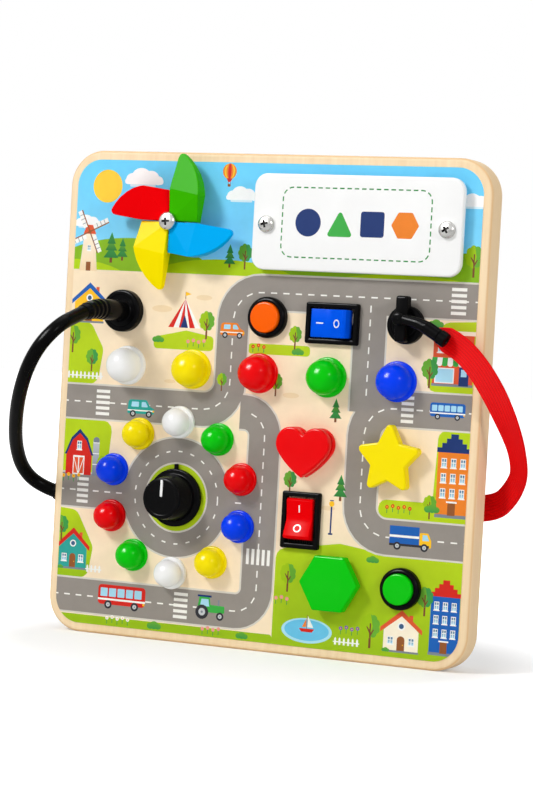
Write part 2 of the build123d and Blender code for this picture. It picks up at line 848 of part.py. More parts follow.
def make_right_plug():
    """The bent plug: pin, key bar, boss and an arm with a ferrule and end collar."""
    low = face + right_socket_height
    plug = rod(pin_radius, low - pin_length, low)
    key = Pos(0, key_offset) * slab(key_width, key_length, key_corner, low, low + key_height)
    key = chamfer(edges_at(key, low + key_height), key_bevel)
    boss = Pos(0, key_offset) * rod(boss_radius, low + key_height, low + key_height + boss_height)
    boss = fillet(edges_at(boss, low + key_height + boss_height), boss_round)
    plug += key + boss
    level = face + arm_lift
    start = Vector(arm_start, key_offset, level)
    bend = Vector(arm_bend_x, key_offset + arm_bend_y, level)
    end = Vector(arm_end_x, key_offset + arm_end_y, level)
    plug += bar_between(start, bend, arm_radius) + Pos(*bend) * Sphere(arm_radius)
    along = (end - bend).normalized()
    ferrule_from = end - along * (ferrule_length + collar_length)
    collar_from = end - along * collar_length
    plug += bar_between(bend, ferrule_from, arm_radius)
    plug += bar_between(ferrule_from, collar_from, ferrule_radius)
    plug += bar_between(collar_from, end, collar_radius)
    plug = Pos(right_socket_x, socket_y) * plug
    strap_top = strap_route[0][2] + strap_thickness / 2 + RUN
    arm_foot = 2 * (ferrule_length + collar_length)
    return plug - Pos(*strap_route[0][:2]) * block(arm_foot, arm_foot, face, strap_top)


def bar_between(start, end, radius):
    """A round bar from one point to another."""
    return Plane(start, z_dir=end - start) * rod(radius, 0, (end - start).length)


def make_grommet():
    """The rubber grommet where the cable enters the board's left side."""
    inward = Plane((left_edge, grommet_y, back / 2), z_dir=(1, 0, 0))
    flange = rod(grommet_radius, -grommet_flange, 0)
    flange = fillet(edges_at(flange, -grommet_flange), grommet_round)
    return inward * (flange + rod(grommet_neck_radius, 0, grommet_neck_length))


def make_anchor():
    """The sleeve on the housing's side that holds the strap's lower end."""
    x, y, z = strap_route[-1]
    thick = strap_thickness + 2 * anchor_margin
    tall = strap_width + 2 * anchor_margin
    body = slab(thick, tall, anchor_corner, 0, x - housing_width / 2)
    return Plane((housing_width / 2, y, z), x_dir=(0, 0, 1), z_dir=(1, 0, 0)) * body


def corner_radii(route):
    """The radius of each arc of a route: 0.45 of the shorter run over tan of half the turn."""
    radii = []
    points = [Vector(*p) for p in route]
    for before, corner, after in zip(points, points[1:], points[2:]):
        arriving = corner - before
        leaving = after - corner
        half_turn = math.radians(arriving.get_angle(leaving) / 2)
        radii.append(0.45 * min(arriving.length, leaving.length) / math.tan(half_turn))
    return radii


def route_wire(name, route):
    """The route's straight runs joined by tangent arcs; prints its radii and length."""
    radii = corner_radii(route)
    wire = FilletPolyline(*route, radius=radii)
    print(name, "radii", [round(r, 1) for r in radii], "length", round(wire.length, 1))
    return wire


def make_cable():
    """The cable from the left plug to the grommet."""
    path = route_wire("cable", cable_route)
    return sweep(Plane(path @ 0, z_dir=path % 0) * Circle(cable_radius), path=path)


def make_strap():
    """The flat strap from the right plug's arm to the anchor on the housing."""
    path = route_wire("strap", strap_route)
    along = path % 0
    up_board = (Vector(0, 1, 0) - along * along.Y).normalized()
    section = Plane(path @ 0, x_dir=up_board, z_dir=along) * Rectangle(strap_width, strap_thickness)
    guide = Pos(0, strap_width, 0) * path
    return sweep(section, path=path, binormal=guide)


# ---------------------------------------------------------------- rear housing
bay_length = cell_length + cell_nub_length + contact_spring_length + 2 * contact_thickness + 2 * SLOT_GAP
bay_height = cell_pitch * (cell_count - 1) + 2 * (cell_radius + SLOT_GAP)
door_length = bay_length + 2 * bay_wall + door_screw_room
door_height = bay_height + 2 * bay_wall
door_x = door_screw_room / 2
door_inner = housing_back + door_thickness
bay_floor = door_inner + 2 * (cell_radius + SLOT_GAP)
door_screw_x = bay_length / 2 + bay_wall + door_screw_room / 2


def make_housing():
    """The moulded housing: walls, ribs, screw bosses and the battery bay."""
    housing = slab(housing_width, housing_height, housing_corner, housing_back, back)
    housing = fillet(edges_at(housing, housing_back), housing_round)
    inner = slab(
        housing_width - 2 * housing_wall,
        housing_height - 2 * housing_wall,
        housing_corner - housing_wall,
        housing_inner_back,
        back + 1,
    )
    housing = Pos(0, housing_height / 2) * (housing - inner)
    ribs = [Pos(0, row) * block(housing_width - housing_wall, rib_thickness,
                                housing_inner_back - 0.2, housing_inner_back + rib_height)
            for row in rib_rows]
    housing += ribs
    for x, y in boss_places:
        housing += Pos(x, y) * rod(boss_radius_outer, housing_inner_back - 0.2, back)
    opening_length = door_length + 2 * SLOT_GAP
    opening_height = door_height + 2 * SLOT_GAP
    housing += Pos(door_x, bay_y) * block(opening_length + 2 * bay_wall, opening_height + 2 * bay_wall,
                                          housing_inner_back - 0.2, bay_floor + bay_wall)
    housing -= Pos(door_x, bay_y) * block(opening_length, opening_height, housing_back - 1, door_inner)
    housing -= Pos(0, bay_y) * block(bay_length, bay_height, door_inner - 1, bay_floor)
    housing -= Pos(door_screw_x, bay_y) * rod(door_screw_radius + RUN, door_inner - 1,
                                              door_inner + door_screw_length)
    for x, y in boss_places:
        housing -= Pos(x, y) * rod(boss_screw_radius + SEAT, housing_back - 1, back + 1)
        housing -= Pos(x, y) * rod(boss_screw_head + AIR, housing_back - 1, housing_back + boss_counterbore)
    return housing


def make_door():
    """The battery door, flush with the housing's back, with a screw hole and finger notch."""
    door = block(door_length, door_height, housing_back, door_inner)
    for row in range(5):
        groove = Pos(-door_length * 0.36 + row * 2.4, 0)
        door -= groove * block(1.0, door_height * 0.4, housing_back - 1, housing_back + 0.5)
    door = Pos(door_x, bay_y) * door
    screw_hole = rod(door_screw_radius + SEAT, housing_back - 1, door_inner + 1)
    screw_hole += rod(door_screw_head + AIR, housing_back - 1, housing_back + door_screw_sink)
    return door - Pos(door_screw_x, bay_y) * screw_hole


def screw_from_behind(head_radius, head_height, shank_radius, seat, bite):
    """A screw driven from the back: its head lies behind the seat, its shank in front."""
    head = rod(head_radius, seat - head_height, seat)
    head = fillet(edges_at(head, seat - head_height), head_height * 0.5)
    return head + rod(shank_radius, seat, seat + bite)


def make_housing_screws():
    """The screws through the housing's bosses into the wood."""
    seat = housing_back + boss_counterbore
    bite = back - seat + wood_screw_bite
    screw = screw_from_behind(boss_screw_head, boss_screw_head_height, boss_screw_radius, seat, bite)
    return [Pos(x, y) * screw for x, y in boss_places]


def make_door_screw():
    """The screw that holds the battery door."""
    seat = housing_back + door_screw_sink
    bite = door_inner - seat + door_screw_length - 1.0
    screw = screw_from_behind(
        door_screw_head, door_screw_head_height, door_screw_radius, seat, bite
    )
    return Pos(door_screw_x, bay_y) * screw


def cell_rows():
    """The Y place of each battery cell."""
    return [bay_y + cell_pitch * (i - (cell_count - 1) / 2) for i in range(cell_count)]


def make_cells():
    """The battery cells, turned end for end in alternate rows."""
    level = door_inner + cell_radius + SLOT_GAP
    cells = []
    for index, row in enumerate(cell_rows()):
        way = 1 if index % 2 == 0 else -1
        nub_end = Vector(way * (bay_length / 2 - contact_thickness - SLOT_GAP), row, level)
        nub_base = nub_end - Vector(way * cell_nub_length, 0, 0)
        tail = nub_base - Vector(way * cell_length, 0, 0)
        can = bar_between(tail, nub_base, cell_radius)
        cells.append(can + bar_between(nub_base, nub_end, cell_nub_radius))
    return cells


def make_contacts():
    """The contact strips at both ends of the bay, with a coned spring at each cell's tail."""
    level = door_inner + cell_radius + SLOT_GAP
    low, high = level - contact_height / 2, level + contact_height / 2
    strips = []
    for side in (-1, 1):
        wall = side * bay_length / 2
        strip_x = wall - side * contact_thickness / 2
        strip = Pos(strip_x, bay_y) * block(contact_thickness, bay_height - 4 * SLOT_GAP, low, high)
        for index, row in enumerate(cell_rows()):
            way = 1 if index % 2 == 0 else -1
            if way == side:
                continue
            base = Plane((wall - side * contact_thickness, row, level), z_dir=(-side, 0, 0))
            strip += base * loft([
                Circle(contact_spring_radius),
                Pos(0, 0, contact_spring_length) * Circle(contact_spring_radius * 0.6),
            ])
        strips.append(strip)
    return strips


# ---------------------------------------------------------------- circuit board
def make_circuit():
    """The circuit board on the wood's rear face, cut out round what passes through it."""
    width = circuit_right - circuit_left
    height = circuit_high - circuit_low
    board = Pos((circuit_left + circuit_right) / 2, (circuit_low + circuit_high) / 2) * block(
        width, height, circuit_back, back
    )
    board -= Pos(ring_x, ring_y) * rod(control_radius + AIR, circuit_back - 1, back + 1)
    notch_width = 2 * control_terminal_pitch + 3 * control_terminal_width
    notch_height = control_terminal_length + 2.0
    terminals = Pos(ring_x, ring_y - control_radius)
    board -= terminals * block(notch_width, notch_height, circuit_back - 1, back + 1)
    board -= Pos(red_rocker_x, red_rocker_y) * block(
        rocker_body_width + 4 * SEAT + 1, rocker_body_length + 4 * SEAT + 1, circuit_back - 1, back + 1
    )
    notch = panel_nut_flats / 2 + 3.0
    corner_x = green_x - notch
    corner_y = green_y + notch
    board -= Pos(corner_x + width / 2, corner_y - height / 2) * block(
        width, height, circuit_back - 1, back + 1
    )
    for x, y in circuit_screw_places:
        board -= Pos(x, y) * rod(circuit_screw_radius + SEAT, circuit_back - 1, back + 1)
    return board


def make_circuit_screws():
    """The small screws that hold the circuit board to the wood."""
    screw = screw_from_behind(
        circuit_screw_head, circuit_screw_head_height, circuit_screw_radius,
        circuit_back, circuit_thickness + circuit_screw_bite - 0.5,
    )
    return [Pos(x, y) * screw for x, y in circuit_screw_places]


# ---------------------------------------------------------------- the whole object
def build_nodes():
    """Every node by name; a list is a group of separate solids."""
    nodes = {
        "board_body": make_board(),
        "printed_sheet": make_print(),
        "rear_housing": make_housing(),
        "housing_screws": make_housing_screws(),
        "battery_door": make_door(),
        "battery_door_screw": make_door_screw(),
        "battery_cells": make_cells(),
        "battery_contacts": make_contacts(),
        "circuit_board": make_circuit(),
        "circuit_screws": make_circuit_screws(),
        "lamp_diodes": make_leds(),
    }
    large_lens = make_lens(
        large_flange_radius, large_flange_height, large_dome_radius, large_dome_lift, large_stem_radius
    )
    for colour, (x, y) in zip(large_lamp_colours, large_lamp_places):
        nodes["large_lamp_" + colour] = Pos(x, y) * large_lens
    small_lens = make_lens(
        small_flange_radius, small_flange_height, small_dome_radius, small_dome_lift, small_stem_radius
    )
    for colour in sorted(set(ring_colours)):
        nodes["small_lamps_" + colour] = [
            Pos(x, y) * small_lens for c, (x, y) in zip(ring_colours, ring_places) if c == colour
        ]
    nodes["control_knob"] = make_knob()
    nodes["control_shaft"] = make_shaft()
    nodes["control_case"] = make_control_case()
    nodes["control_nut"] = make_control_nut()
    for colour, (x, y) in zip(("orange", "green"), button_places):
        nodes[colour + "_button_case"] = Pos(x, y) * make_button_case()
        nodes[colour + "_button_cap"] = Pos(x, y) * make_button_cap()
        nodes[colour + "_button_spring"] = Pos(x, y) * make_button_spring()
    nodes["panel_nuts"] = make_panel_nuts()
    blue_place = Pos(blue_rocker_x, blue_rocker_y)
    red_place = Pos(red_rocker_x, red_rocker_y) * Rot(0, 0, -90)
    nodes["blue_rocker_frame"] = blue_place * make_rocker_frame()
    nodes["blue_rocker_key"] = blue_place * make_rocker(-rocker_half_swing)
    nodes["red_rocker_frame"] = red_place * make_rocker_frame()
    nodes["red_rocker_key"] = red_place * make_rocker(-rocker_half_swing)
    heart_place, star_place, hexagon_place = [Pos(x, y) for x, y in shape_places]
    nodes["heart_button_base"] = heart_place * make_guide(heart_outline)
    nodes["heart_button_cap"] = heart_place * make_shape_cap(
        heart_outline, face + heart_base_height + shape_gap, heart_cap_height
    )
    nodes["star_button_guide"] = star_place * make_guide()
    nodes["star_button_cap"] = star_place * make_shape_cap(star_outline, face + shape_gap, shape_height)
    nodes["hexagon_button_guide"] = hexagon_place * make_guide()
    nodes["hexagon_button_cap"] = hexagon_place * make_shape_cap(
        hexagon_outline, face + shape_gap, shape_height
    )
    nodes["shape_button_pads"] = make_pads()
    for index, colour in enumerate(("green", "red", "yellow", "blue")):
        nodes["pinwheel_sail_" + colour] = make_blade(90 * index)
    nodes["pinwheel_hub"] = make_hub()
    pinwheel_seat = face + blade_root_top + AIR
    nodes["pinwheel_screw"] = Pos(pinwheel_x, pinwheel_y) * pan_screw(
        screw_head_radius, screw_head_height, screw_shank_radius, pinwheel_seat, pinwheel_seat + screw_bite
    )
    nodes["cover_plate"] = make_cover_plate()
    plate_top = face + plate_standoff + plate_thickness
    nodes["cover_plate_screws"] = [
        Pos(x, y) * pan_screw(
            screw_head_radius, screw_head_height, screw_shank_radius, plate_top, plate_top + screw_bite
        )
        for x, y in plate_screw_places
    ]
    nodes["left_socket"] = make_socket(left_socket_x, left_socket_radius, left_socket_height)
    nodes["left_plug"] = make_left_plug()
    nodes["left_cable"] = make_cable()
    nodes["left_cable_grommet"] = make_grommet()
    nodes["right_socket"] = make_socket(right_socket_x, right_socket_radius, right_socket_height)
    nodes["right_plug"] = make_right_plug()
    nodes["right_strap"] = make_strap()
    nodes["strap_anchor"] = make_anchor()
    return nodes


# the cable, the strap and what is on them: they don't count when the object is centred
LOOSE = ("left_cable", "left_plug", "left_cable_grommet", "right_strap", "right_plug", "strap_anchor")


def stand_up(nodes):
    """Turns the lying model upright and centres it front to back over the origin."""
    upright = {}
    for name, shape in nodes.items():
        solids = shape if isinstance(shape, list) else [shape]
        upright[name] = Compound(children=[Rot(90, 0, 0) * solid for solid in solids])
    boxes = [shape.bounding_box() for name, shape in upright.items() if name not in LOOSE]
    middle = (min(b.min.Y for b in boxes) + max(b.max.Y for b in boxes)) / 2
    return {name: Pos(0, -middle, 0) * shape for name, shape in upright.items()}, middle


def main():
    """Builds every node and writes one STEP file for each."""
    os.makedirs("parts", exist_ok=True)
    upright, middle = stand_up(build_nodes())
    print("board face at y", round(-middle, 4))
    for name, shape in upright.items():
        export_step(shape, "parts/" + name + ".step")


main()
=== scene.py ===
import json
import math

import bmesh
import bpy
from bpy.props import FloatProperty, FloatVectorProperty, IntProperty, PointerProperty
from mathutils import Matrix, Vector
from mathutils.geometry import delaunay_2d_cdt

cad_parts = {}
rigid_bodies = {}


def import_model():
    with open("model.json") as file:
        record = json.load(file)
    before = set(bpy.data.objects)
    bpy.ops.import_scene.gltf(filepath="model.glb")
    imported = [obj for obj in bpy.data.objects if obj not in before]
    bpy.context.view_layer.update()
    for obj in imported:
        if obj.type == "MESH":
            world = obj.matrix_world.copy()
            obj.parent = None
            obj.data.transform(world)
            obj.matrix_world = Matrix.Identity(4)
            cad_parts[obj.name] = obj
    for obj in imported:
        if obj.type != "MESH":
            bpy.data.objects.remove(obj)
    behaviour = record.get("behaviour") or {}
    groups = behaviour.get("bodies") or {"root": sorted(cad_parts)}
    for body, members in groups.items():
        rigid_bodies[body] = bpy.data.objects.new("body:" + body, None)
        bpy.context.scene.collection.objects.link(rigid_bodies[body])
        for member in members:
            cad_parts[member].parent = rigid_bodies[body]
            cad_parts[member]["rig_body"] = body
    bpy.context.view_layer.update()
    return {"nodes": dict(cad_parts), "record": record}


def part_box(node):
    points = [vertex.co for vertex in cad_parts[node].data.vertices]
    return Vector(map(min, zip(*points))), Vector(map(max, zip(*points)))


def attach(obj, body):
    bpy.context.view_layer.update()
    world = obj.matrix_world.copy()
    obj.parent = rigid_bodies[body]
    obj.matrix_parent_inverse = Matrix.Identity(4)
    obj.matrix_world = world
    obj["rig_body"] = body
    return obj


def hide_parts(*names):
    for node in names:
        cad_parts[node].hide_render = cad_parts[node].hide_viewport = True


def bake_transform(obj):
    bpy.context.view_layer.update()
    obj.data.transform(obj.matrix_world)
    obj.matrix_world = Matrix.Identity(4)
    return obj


bl_info = {
    "name": "Wooden busy board",
    "version": (1, 0, 0),
    "blender": (4, 5, 0),
    "location": "View3D > Sidebar > Busy Board",
    "description": "Dresses the packed busy board: wood, printed town, lamps, switches, pinwheel and plugs",
    "category": "Object",
}

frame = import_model()


# ---------------- measures from the frame
MM = 0.001
BOARD_LOW, BOARD_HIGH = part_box("board_body")
FACE = BOARD_LOW.y                                        # the wooden face; pieces stand out towards -Y
SHEET = (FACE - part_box("printed_sheet")[0].y) / MM        # height of the printed face, in millimetres
LEFT_EDGE = BOARD_LOW.x / MM
RIGHT_EDGE = BOARD_HIGH.x / MM
TURN_UPRIGHT = Matrix.Rotation(math.radians(90), 4, "X")  # lays out flat work: X right, Y up the board, Z out


def linear(channel):
    """One display channel, from 0 to 1, as scene light."""
    return channel / 12.92 if channel <= 0.04045 else ((channel + 0.055) / 1.055) ** 2.4


def paint(code):
    """A colour written as six hexadecimal digits, as scene light."""
    return tuple(linear(int(code[i:i + 2], 16) / 255) for i in (0, 2, 4))


def place(x, y, out=0.0, spin=0.0):
    """The matrix of flat work at a point of the board's face, in millimetres, turned by spin degrees."""
    spot = Matrix.Translation((x * MM, FACE - out * MM, y * MM))
    return spot @ TURN_UPRIGHT @ Matrix.Rotation(math.radians(spin), 4, "Z")


def middle(node):
    """The (x, height) of the middle of a node's box, in millimetres."""
    low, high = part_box(node)
    return (low.x + high.x) / 2 / MM, (low.z + high.z) / 2 / MM


def half_width(node):
    """Half of a node's width, in millimetres."""
    low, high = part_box(node)
    return (high.x - low.x) / 2 / MM


def front(node):
    """How far a node reaches out of the wooden face, in millimetres."""
    return (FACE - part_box(node)[0].y) / MM


# ---------------- what a user would change
def tint(name, description, code):
    """A colour property, with its default as six hexadecimal digits."""
    return FloatVectorProperty(
        name=name, description=description, default=paint(code), subtype="COLOR", size=3, min=0.0, max=1.0
    )


def length(name, description, millimetres):
    """A length property, with its default in millimetres."""
    return FloatProperty(
        name=name, description=description, default=millimetres * MM, min=0.0, soft_max=0.2, unit="LENGTH"
    )


def share(name, description, default):
    """A property from 0 to 1."""
    return FloatProperty(
        name=name, description=description, default=default, min=0.0, max=1.0, subtype="FACTOR"
    )


def turn(name, description, degrees):
    """An angle property, with its default in degrees."""
    return FloatProperty(name=name, description=description, default=math.radians(degrees), subtype="ANGLE")


def power(name, description, watts):
    """A light's power, with its default in watts."""
    return FloatProperty(name=name, description=description, default=watts, min=0.0, unit="POWER")


class BusyBoardColours(bpy.types.PropertyGroup):
    """The colours of the wood, the plastics, the cable and the strap."""

    white_plastic: tint("White plastic", "White lamps and the cover plate", "f8f8f7")
    yellow_plastic: tint("Yellow plastic", "Yellow lamps, star and sail", "ffe600")
    red_plastic: tint("Red plastic", "Red lamps, heart, rocker and sail", "ee0006")
    green_plastic: tint("Green plastic", "Green lamps, hexagon and button", "00c808")
    blue_plastic: tint("Blue plastic", "Blue lamps", "0040f8")
    orange_plastic: tint("Orange plastic", "Orange button", "ff6200")
    sky_plastic: tint("Sky blue plastic", "Light blue sail", "00aaf2")
    lime_sail: tint("Lime sail", "Green sail of the pinwheel", "38b200")
    azure_key: tint("Azure key", "Blue rocker's key", "0058ee")
    black_plastic: tint("Black plastic", "Knob, frames, sockets and plugs", "0a0a0b")
    birch_wood: tint("Wood", "Pale birch of the board", "f4dcb6")
    housing_plastic: tint("Housing plastic", "Rear housing and battery door", "eceae4")
    strap_webbing: tint("Strap webbing", "Woven strap", "fc0006")
    cable_rubber: tint("Cable rubber", "Cable and grommet", "060606")


class BusyBoardTrim(bpy.types.PropertyGroup):
    """Small sizes of the trim that is made here."""

    moulded_edge: length("Moulded edge", "Radius of the softened edges of small plastic pieces", 0.3)
    mark_width: length("Mark width", "Line width of the marks on the rockers", 0.5)
    mark_relief: length("Mark relief", "How far printed marks stand proud", 0.04)
    pointer_width: length("Pointer width", "Width of the white line on the knob", 1.0)
    recess_depth: length("Recess depth", "Depth of the screws' cross recess", 1.3)
    recess_width: length("Recess width", "Width of each slot of the cross recess", 0.95)
    webbing_ribs: IntProperty(name="Webbing ribs", description="Ribs along the strap's width", default=15,
                              min=3)
    webbing_relief: length("Webbing relief", "Depth of the grooves between the ribs", 0.2)


class BusyBoardFinish(bpy.types.PropertyGroup):
    """Gloss and grain."""

    plastic_roughness: share("Plastic roughness", "Roughness of the polished plastics", 0.19)
    black_roughness: share("Black roughness", "Roughness of the black plastics", 0.2)
    sail_roughness: share("Sail roughness", "Roughness of the sails and the rockers' keys", 0.3)
    print_roughness: share("Print roughness", "Roughness of the varnished picture", 0.42)
    wood_roughness: share("Wood roughness", "Roughness of the sanded wood", 0.55)
    wood_grain: share("Wood grain", "How strongly the grain shows", 0.34)


class BusyBoardStage(bpy.types.PropertyGroup):
    """Camera and lights."""

    camera_side: length("Camera side", "How far the camera stands to the right of the board's middle", 418.9)
    camera_distance: length("Camera distance", "How far the camera stands in front of the wooden face", 884.8)
    camera_height: length("Camera height", "Height of the camera above the floor", 116.5)
    camera_yaw: turn("Camera yaw", "Turn to the left", 25.239)
    camera_pitch: turn("Camera pitch", "Tilt downwards", 1.191)
    camera_roll: turn("Camera roll", "Roll of the camera", 3.198)
    focal_length: FloatProperty(name="Focal length", description="Focal length on a 36 mm film",
                                default=115.4, min=1.0, subtype="DISTANCE_CAMERA")
    key_power: power("Key light", "Power of the left softbox", 5.05)
    side_power: power("Side light", "Power of the right softbox", 2.2)
    glint_power: power("Glint", "Power of the softbox that only shows as a highlight", 40.0)
    top_power: power("Top light", "Power of the overhead softbox", 2.0)
    sky_light: FloatProperty(name="Sky light", description="Strength of the white surroundings", default=0.36,
                             min=0.0)


def settings(group):
    """One of the property groups above, as the scene holds it."""
    return getattr(bpy.context.scene, "busy_board_" + group)


# ---------------- materials
class Finish:
    """A material under construction: its shader and a short way to add and link nodes."""

    def __init__(self, name, **sockets):
        self.material = bpy.data.materials.new(name + "_finish")
        self.material.use_nodes = True
        self.tree = self.material.node_tree
        self.shader = self.tree.nodes["Principled BSDF"]
        self.space = self.add("ShaderNodeTexCoord").outputs["Object"]
        for socket, value in sockets.items():
            self.shader.inputs[socket.replace("_", " ")].default_value = value

    def add(self, kind, links=None, **options):
        """A node with its options set and its inputs linked or valued."""
        node = self.tree.nodes.new(kind)
        for key, value in options.items():
            setattr(node, key, value)
        for socket, value in (links or {}).items():
            if isinstance(value, bpy.types.NodeSocket):
                self.tree.links.new(value, node.inputs[socket])
            else:
                node.inputs[socket].default_value = value
        return node

    def stretch(self, scale):
        """The object's own space, scaled along each axis."""
        return self.add("ShaderNodeMapping", {"Vector": self.space, "Scale": scale}).outputs["Vector"]

    def noise(self, scale, detail=3.0, roughness=0.5, vector=None):
        """A noise pattern's grey value, in the object's own space unless another vector is given."""
        links = {"Vector": vector or self.space, "Scale": scale, "Detail": detail, "Roughness": roughness}
        return self.add("ShaderNodeTexNoise", links).outputs["Fac"]

    def streaks(self, scale, detail, roughness=0.5):
        """A noise pattern with its own scale along each axis."""
        return self.noise(1.0, detail, roughness, self.stretch(scale))

    def span(self, value, low, high, start=0.0, end=1.0):
        """A grey value spread from one range to another."""
        links = {"Value": value, "From Min": start, "From Max": end, "To Min": low, "To Max": high}
        return self.add("ShaderNodeMapRange", links).outputs["Result"]

    def blend(self, share_of_second, first, second, mode="MIX"):
        """Two colours mixed by a share."""
        node = self.add("ShaderNodeMix", data_type="RGBA", blend_type=mode)
        for socket, value in zip((0, 6, 7), (share_of_second, first, second)):
            if isinstance(value, bpy.types.NodeSocket):
                self.tree.links.new(value, node.inputs[socket])
            else:
                node.inputs[socket].default_value = value
        return node.outputs[2]

    def relief(self, height, strength, depth):
        """Bumps the surface by a grey value."""
        links = {"Height": height, "Strength": strength, "Distance": depth}
        bump = self.add("ShaderNodeBump", links)
        self.tree.links.new(bump.outputs["Normal"], self.shader.inputs["Normal"])

    def calculate(self, operation, *values):
        """The result of a sum, a product or the like."""
        return self.add("ShaderNodeMath", dict(enumerate(values)), operation=operation).outputs[0]

    def drive(self, socket, value):
        """Links a value to one of the shader's sockets."""
        self.tree.links.new(value, self.shader.inputs[socket])


def opaque(colour, gain=1.0):
    """A colour with full cover, lightened or darkened."""
    return tuple(min(1.0, c * gain) for c in colour) + (1.0,)


def moulded_plastic(name, colour, roughness, mirror=0.08):
    """Polished moulded plastic: a slight swirl of tone, uneven gloss and a faint orange peel."""
    finish = Finish(name, IOR=1.49, Specular_IOR_Level=mirror)
    swirl = finish.noise(60.0, 2.0)
    finish.drive("Base Color", finish.blend(swirl, opaque(colour, 0.95), opaque(colour, 1.04)))
    gloss = finish.noise(420.0, 4.0)
    finish.drive("Roughness", finish.span(gloss, roughness * 0.8, roughness * 1.25))
    finish.relief(finish.noise(700.0, 2.0), 0.12, 0.00008)
    return finish.material


BIRCH_STREAKS = (0.82, 0.66, 0.46)   # what the dark streaks leave of each channel
BIRCH_EDGE_TONE = (0.8, 0.5, 0.2)        # what the darker, warmer sides and rounded edges leave of each channel


def sanded_birch(name, colour):
    """Pale plywood: streaks along its layers, soft figure on its face, and sides and rounded edges toned
    darker and warmer by the way the surface faces.
    """
    style = settings("finish")
    finish = Finish(name, IOR=1.45, Specular_IOR_Level=0.12)
    upright = finish.streaks((420.0, 1500.0, 14.0), 4.0, 0.6)
    across = finish.streaks((14.0, 1500.0, 420.0), 4.0, 0.6)
    normal = finish.add("ShaderNodeNewGeometry").outputs["Normal"]
    parts = finish.add("ShaderNodeSeparateXYZ", {"Vector": normal}).outputs
    level = finish.calculate("ABSOLUTE", parts["Z"])
    streaks = finish.blend(finish.span(level, 0.0, 1.0, 0.4, 0.8), upright, across)
    figure = finish.streaks((30.0, 30.0, 5.0), 3.0)
    grain = finish.blend(0.35, streaks, figure)
    share_of_dark = finish.span(grain, style.wood_grain, 0.0, 0.38, 0.66)
    dark, edge_toned = ([c * left for c, left in zip(colour, kept)] for kept in (BIRCH_STREAKS, BIRCH_EDGE_TONE))
    wood = finish.blend(share_of_dark, opaque(colour, 1.06), opaque(dark))
    # The sides, and more strongly the rounded edges between the face and the sides, are toned darker and
    # warmer by the direction of the surface.
    facing = finish.calculate("MULTIPLY", parts["Y"], parts["Y"])
    sideways = finish.calculate("SUBTRACT", 1.0, facing)
    corner = finish.calculate("MULTIPLY", facing, sideways)
    side = finish.span(sideways, 0.0, 0.08)
    edge_tone = finish.calculate("ADD", side, finish.span(corner, 0.0, 0.4, 0.12, 0.25))
    finish.drive("Base Color", finish.blend(edge_tone, wood, opaque(edge_toned)))
    finish.drive("Roughness", finish.span(grain, style.wood_roughness * 0.85, style.wood_roughness * 1.2))
    finish.relief(streaks, 0.25, 0.00015)
    return finish.material


def varnished_print(name):
    """The printed picture: ink from the mesh's colours, a slight mottle and satin varnish."""
    style = settings("finish")
    finish = Finish(name, IOR=1.45, Specular_IOR_Level=0.08)
    ink = finish.add("ShaderNodeAttribute", attribute_name="ink").outputs["Color"]
    mottle = finish.noise(160.0, 5.0, 0.6)
    mottled = finish.blend(mottle, (0.9, 0.9, 0.9, 1.0), (1.07, 1.07, 1.07, 1.0))
    toned = finish.blend(1.0, ink, mottled, "MULTIPLY")
    cloudy = finish.noise(24.0, 2.0)
    shaded = finish.blend(cloudy, (0.95, 0.95, 0.93, 1.0), (1.04, 1.04, 1.04, 1.0))
    finish.drive("Base Color", finish.blend(1.0, toned, shaded, "MULTIPLY"))
    finish.drive("Roughness", finish.span(mottle, style.print_roughness * 0.85, style.print_roughness * 1.15))
    finish.relief(finish.streaks((900.0, 900.0, 60.0), 3.0), 0.15, 0.00006)
    return finish.material


def nickel_plate(name, shade):
    """Nickel plated steel with fine turning marks."""
    finish = Finish(name, Metallic=1.0)
    haze = finish.noise(900.0, 3.0)
    finish.drive("Base Color", finish.blend(haze, (shade, shade * 0.985, shade * 0.96, 1.0),
                                            (shade * 1.3, shade * 1.28, shade * 1.24, 1.0)))
    finish.drive("Roughness", finish.span(haze, 0.16, 0.3))
    finish.relief(finish.streaks((300.0, 3000.0, 300.0), 2.0), 0.06, 0.00002)
    return finish.material


def soft_rubber(name, colour, roughness=0.24):
    """Soft cable rubber with handling marks."""
    finish = Finish(name, IOR=1.5, Specular_IOR_Level=0.04)
    marks = finish.noise(110.0, 4.0, 0.6)
    finish.drive("Base Color", finish.blend(marks, opaque(colour, 0.8), opaque(colour, 1.25)))
    finish.drive("Roughness", finish.span(marks, roughness * 0.75, roughness * 1.2))
    finish.relief(finish.noise(1400.0, 2.0), 0.05, 0.00002)
    return finish.material


def woven_webbing(name, colour):
    """Ribbed webbing: fine threads across the modelled ribs, and a soft fabric sheen."""
    finish = Finish(name, IOR=1.4, Specular_IOR_Level=0.1, Sheen_Weight=0.12, Sheen_Roughness=0.35,
                    Sheen_Tint=opaque([0.1 + 0.9 * c for c in colour]))
    along = finish.add("ShaderNodeUVMap", uv_map="webbing").outputs["UV"]
    fine = {"Vector": along, "Scale": 62.0, "Distortion": 0.6, "Detail": 1.0}
    threads = finish.add("ShaderNodeTexWave", fine, bands_direction="Y", wave_profile="SIN").outputs["Fac"]
    broad = {"Vector": along, "Scale": 2.4, "Distortion": 0.15}
    ribs = finish.add("ShaderNodeTexWave", broad, bands_direction="X", wave_profile="SIN").outputs["Fac"]
    fibre = finish.noise(900.0, 3.0)
    weave = finish.blend(0.5, threads, ribs)
    shade = finish.blend(finish.span(weave, 0.0, 1.0, 0.1, 0.8), opaque(colour, 0.78), opaque(colour, 1.15))
    finish.drive("Base Color", finish.blend(finish.span(fibre, 0.0, 0.2), shade, opaque(colour, 0.9)))
    finish.drive("Roughness", finish.span(fibre, 0.55, 0.8))
    finish.relief(finish.blend(0.3, weave, fibre), 0.55, 0.00016)
    return finish.material


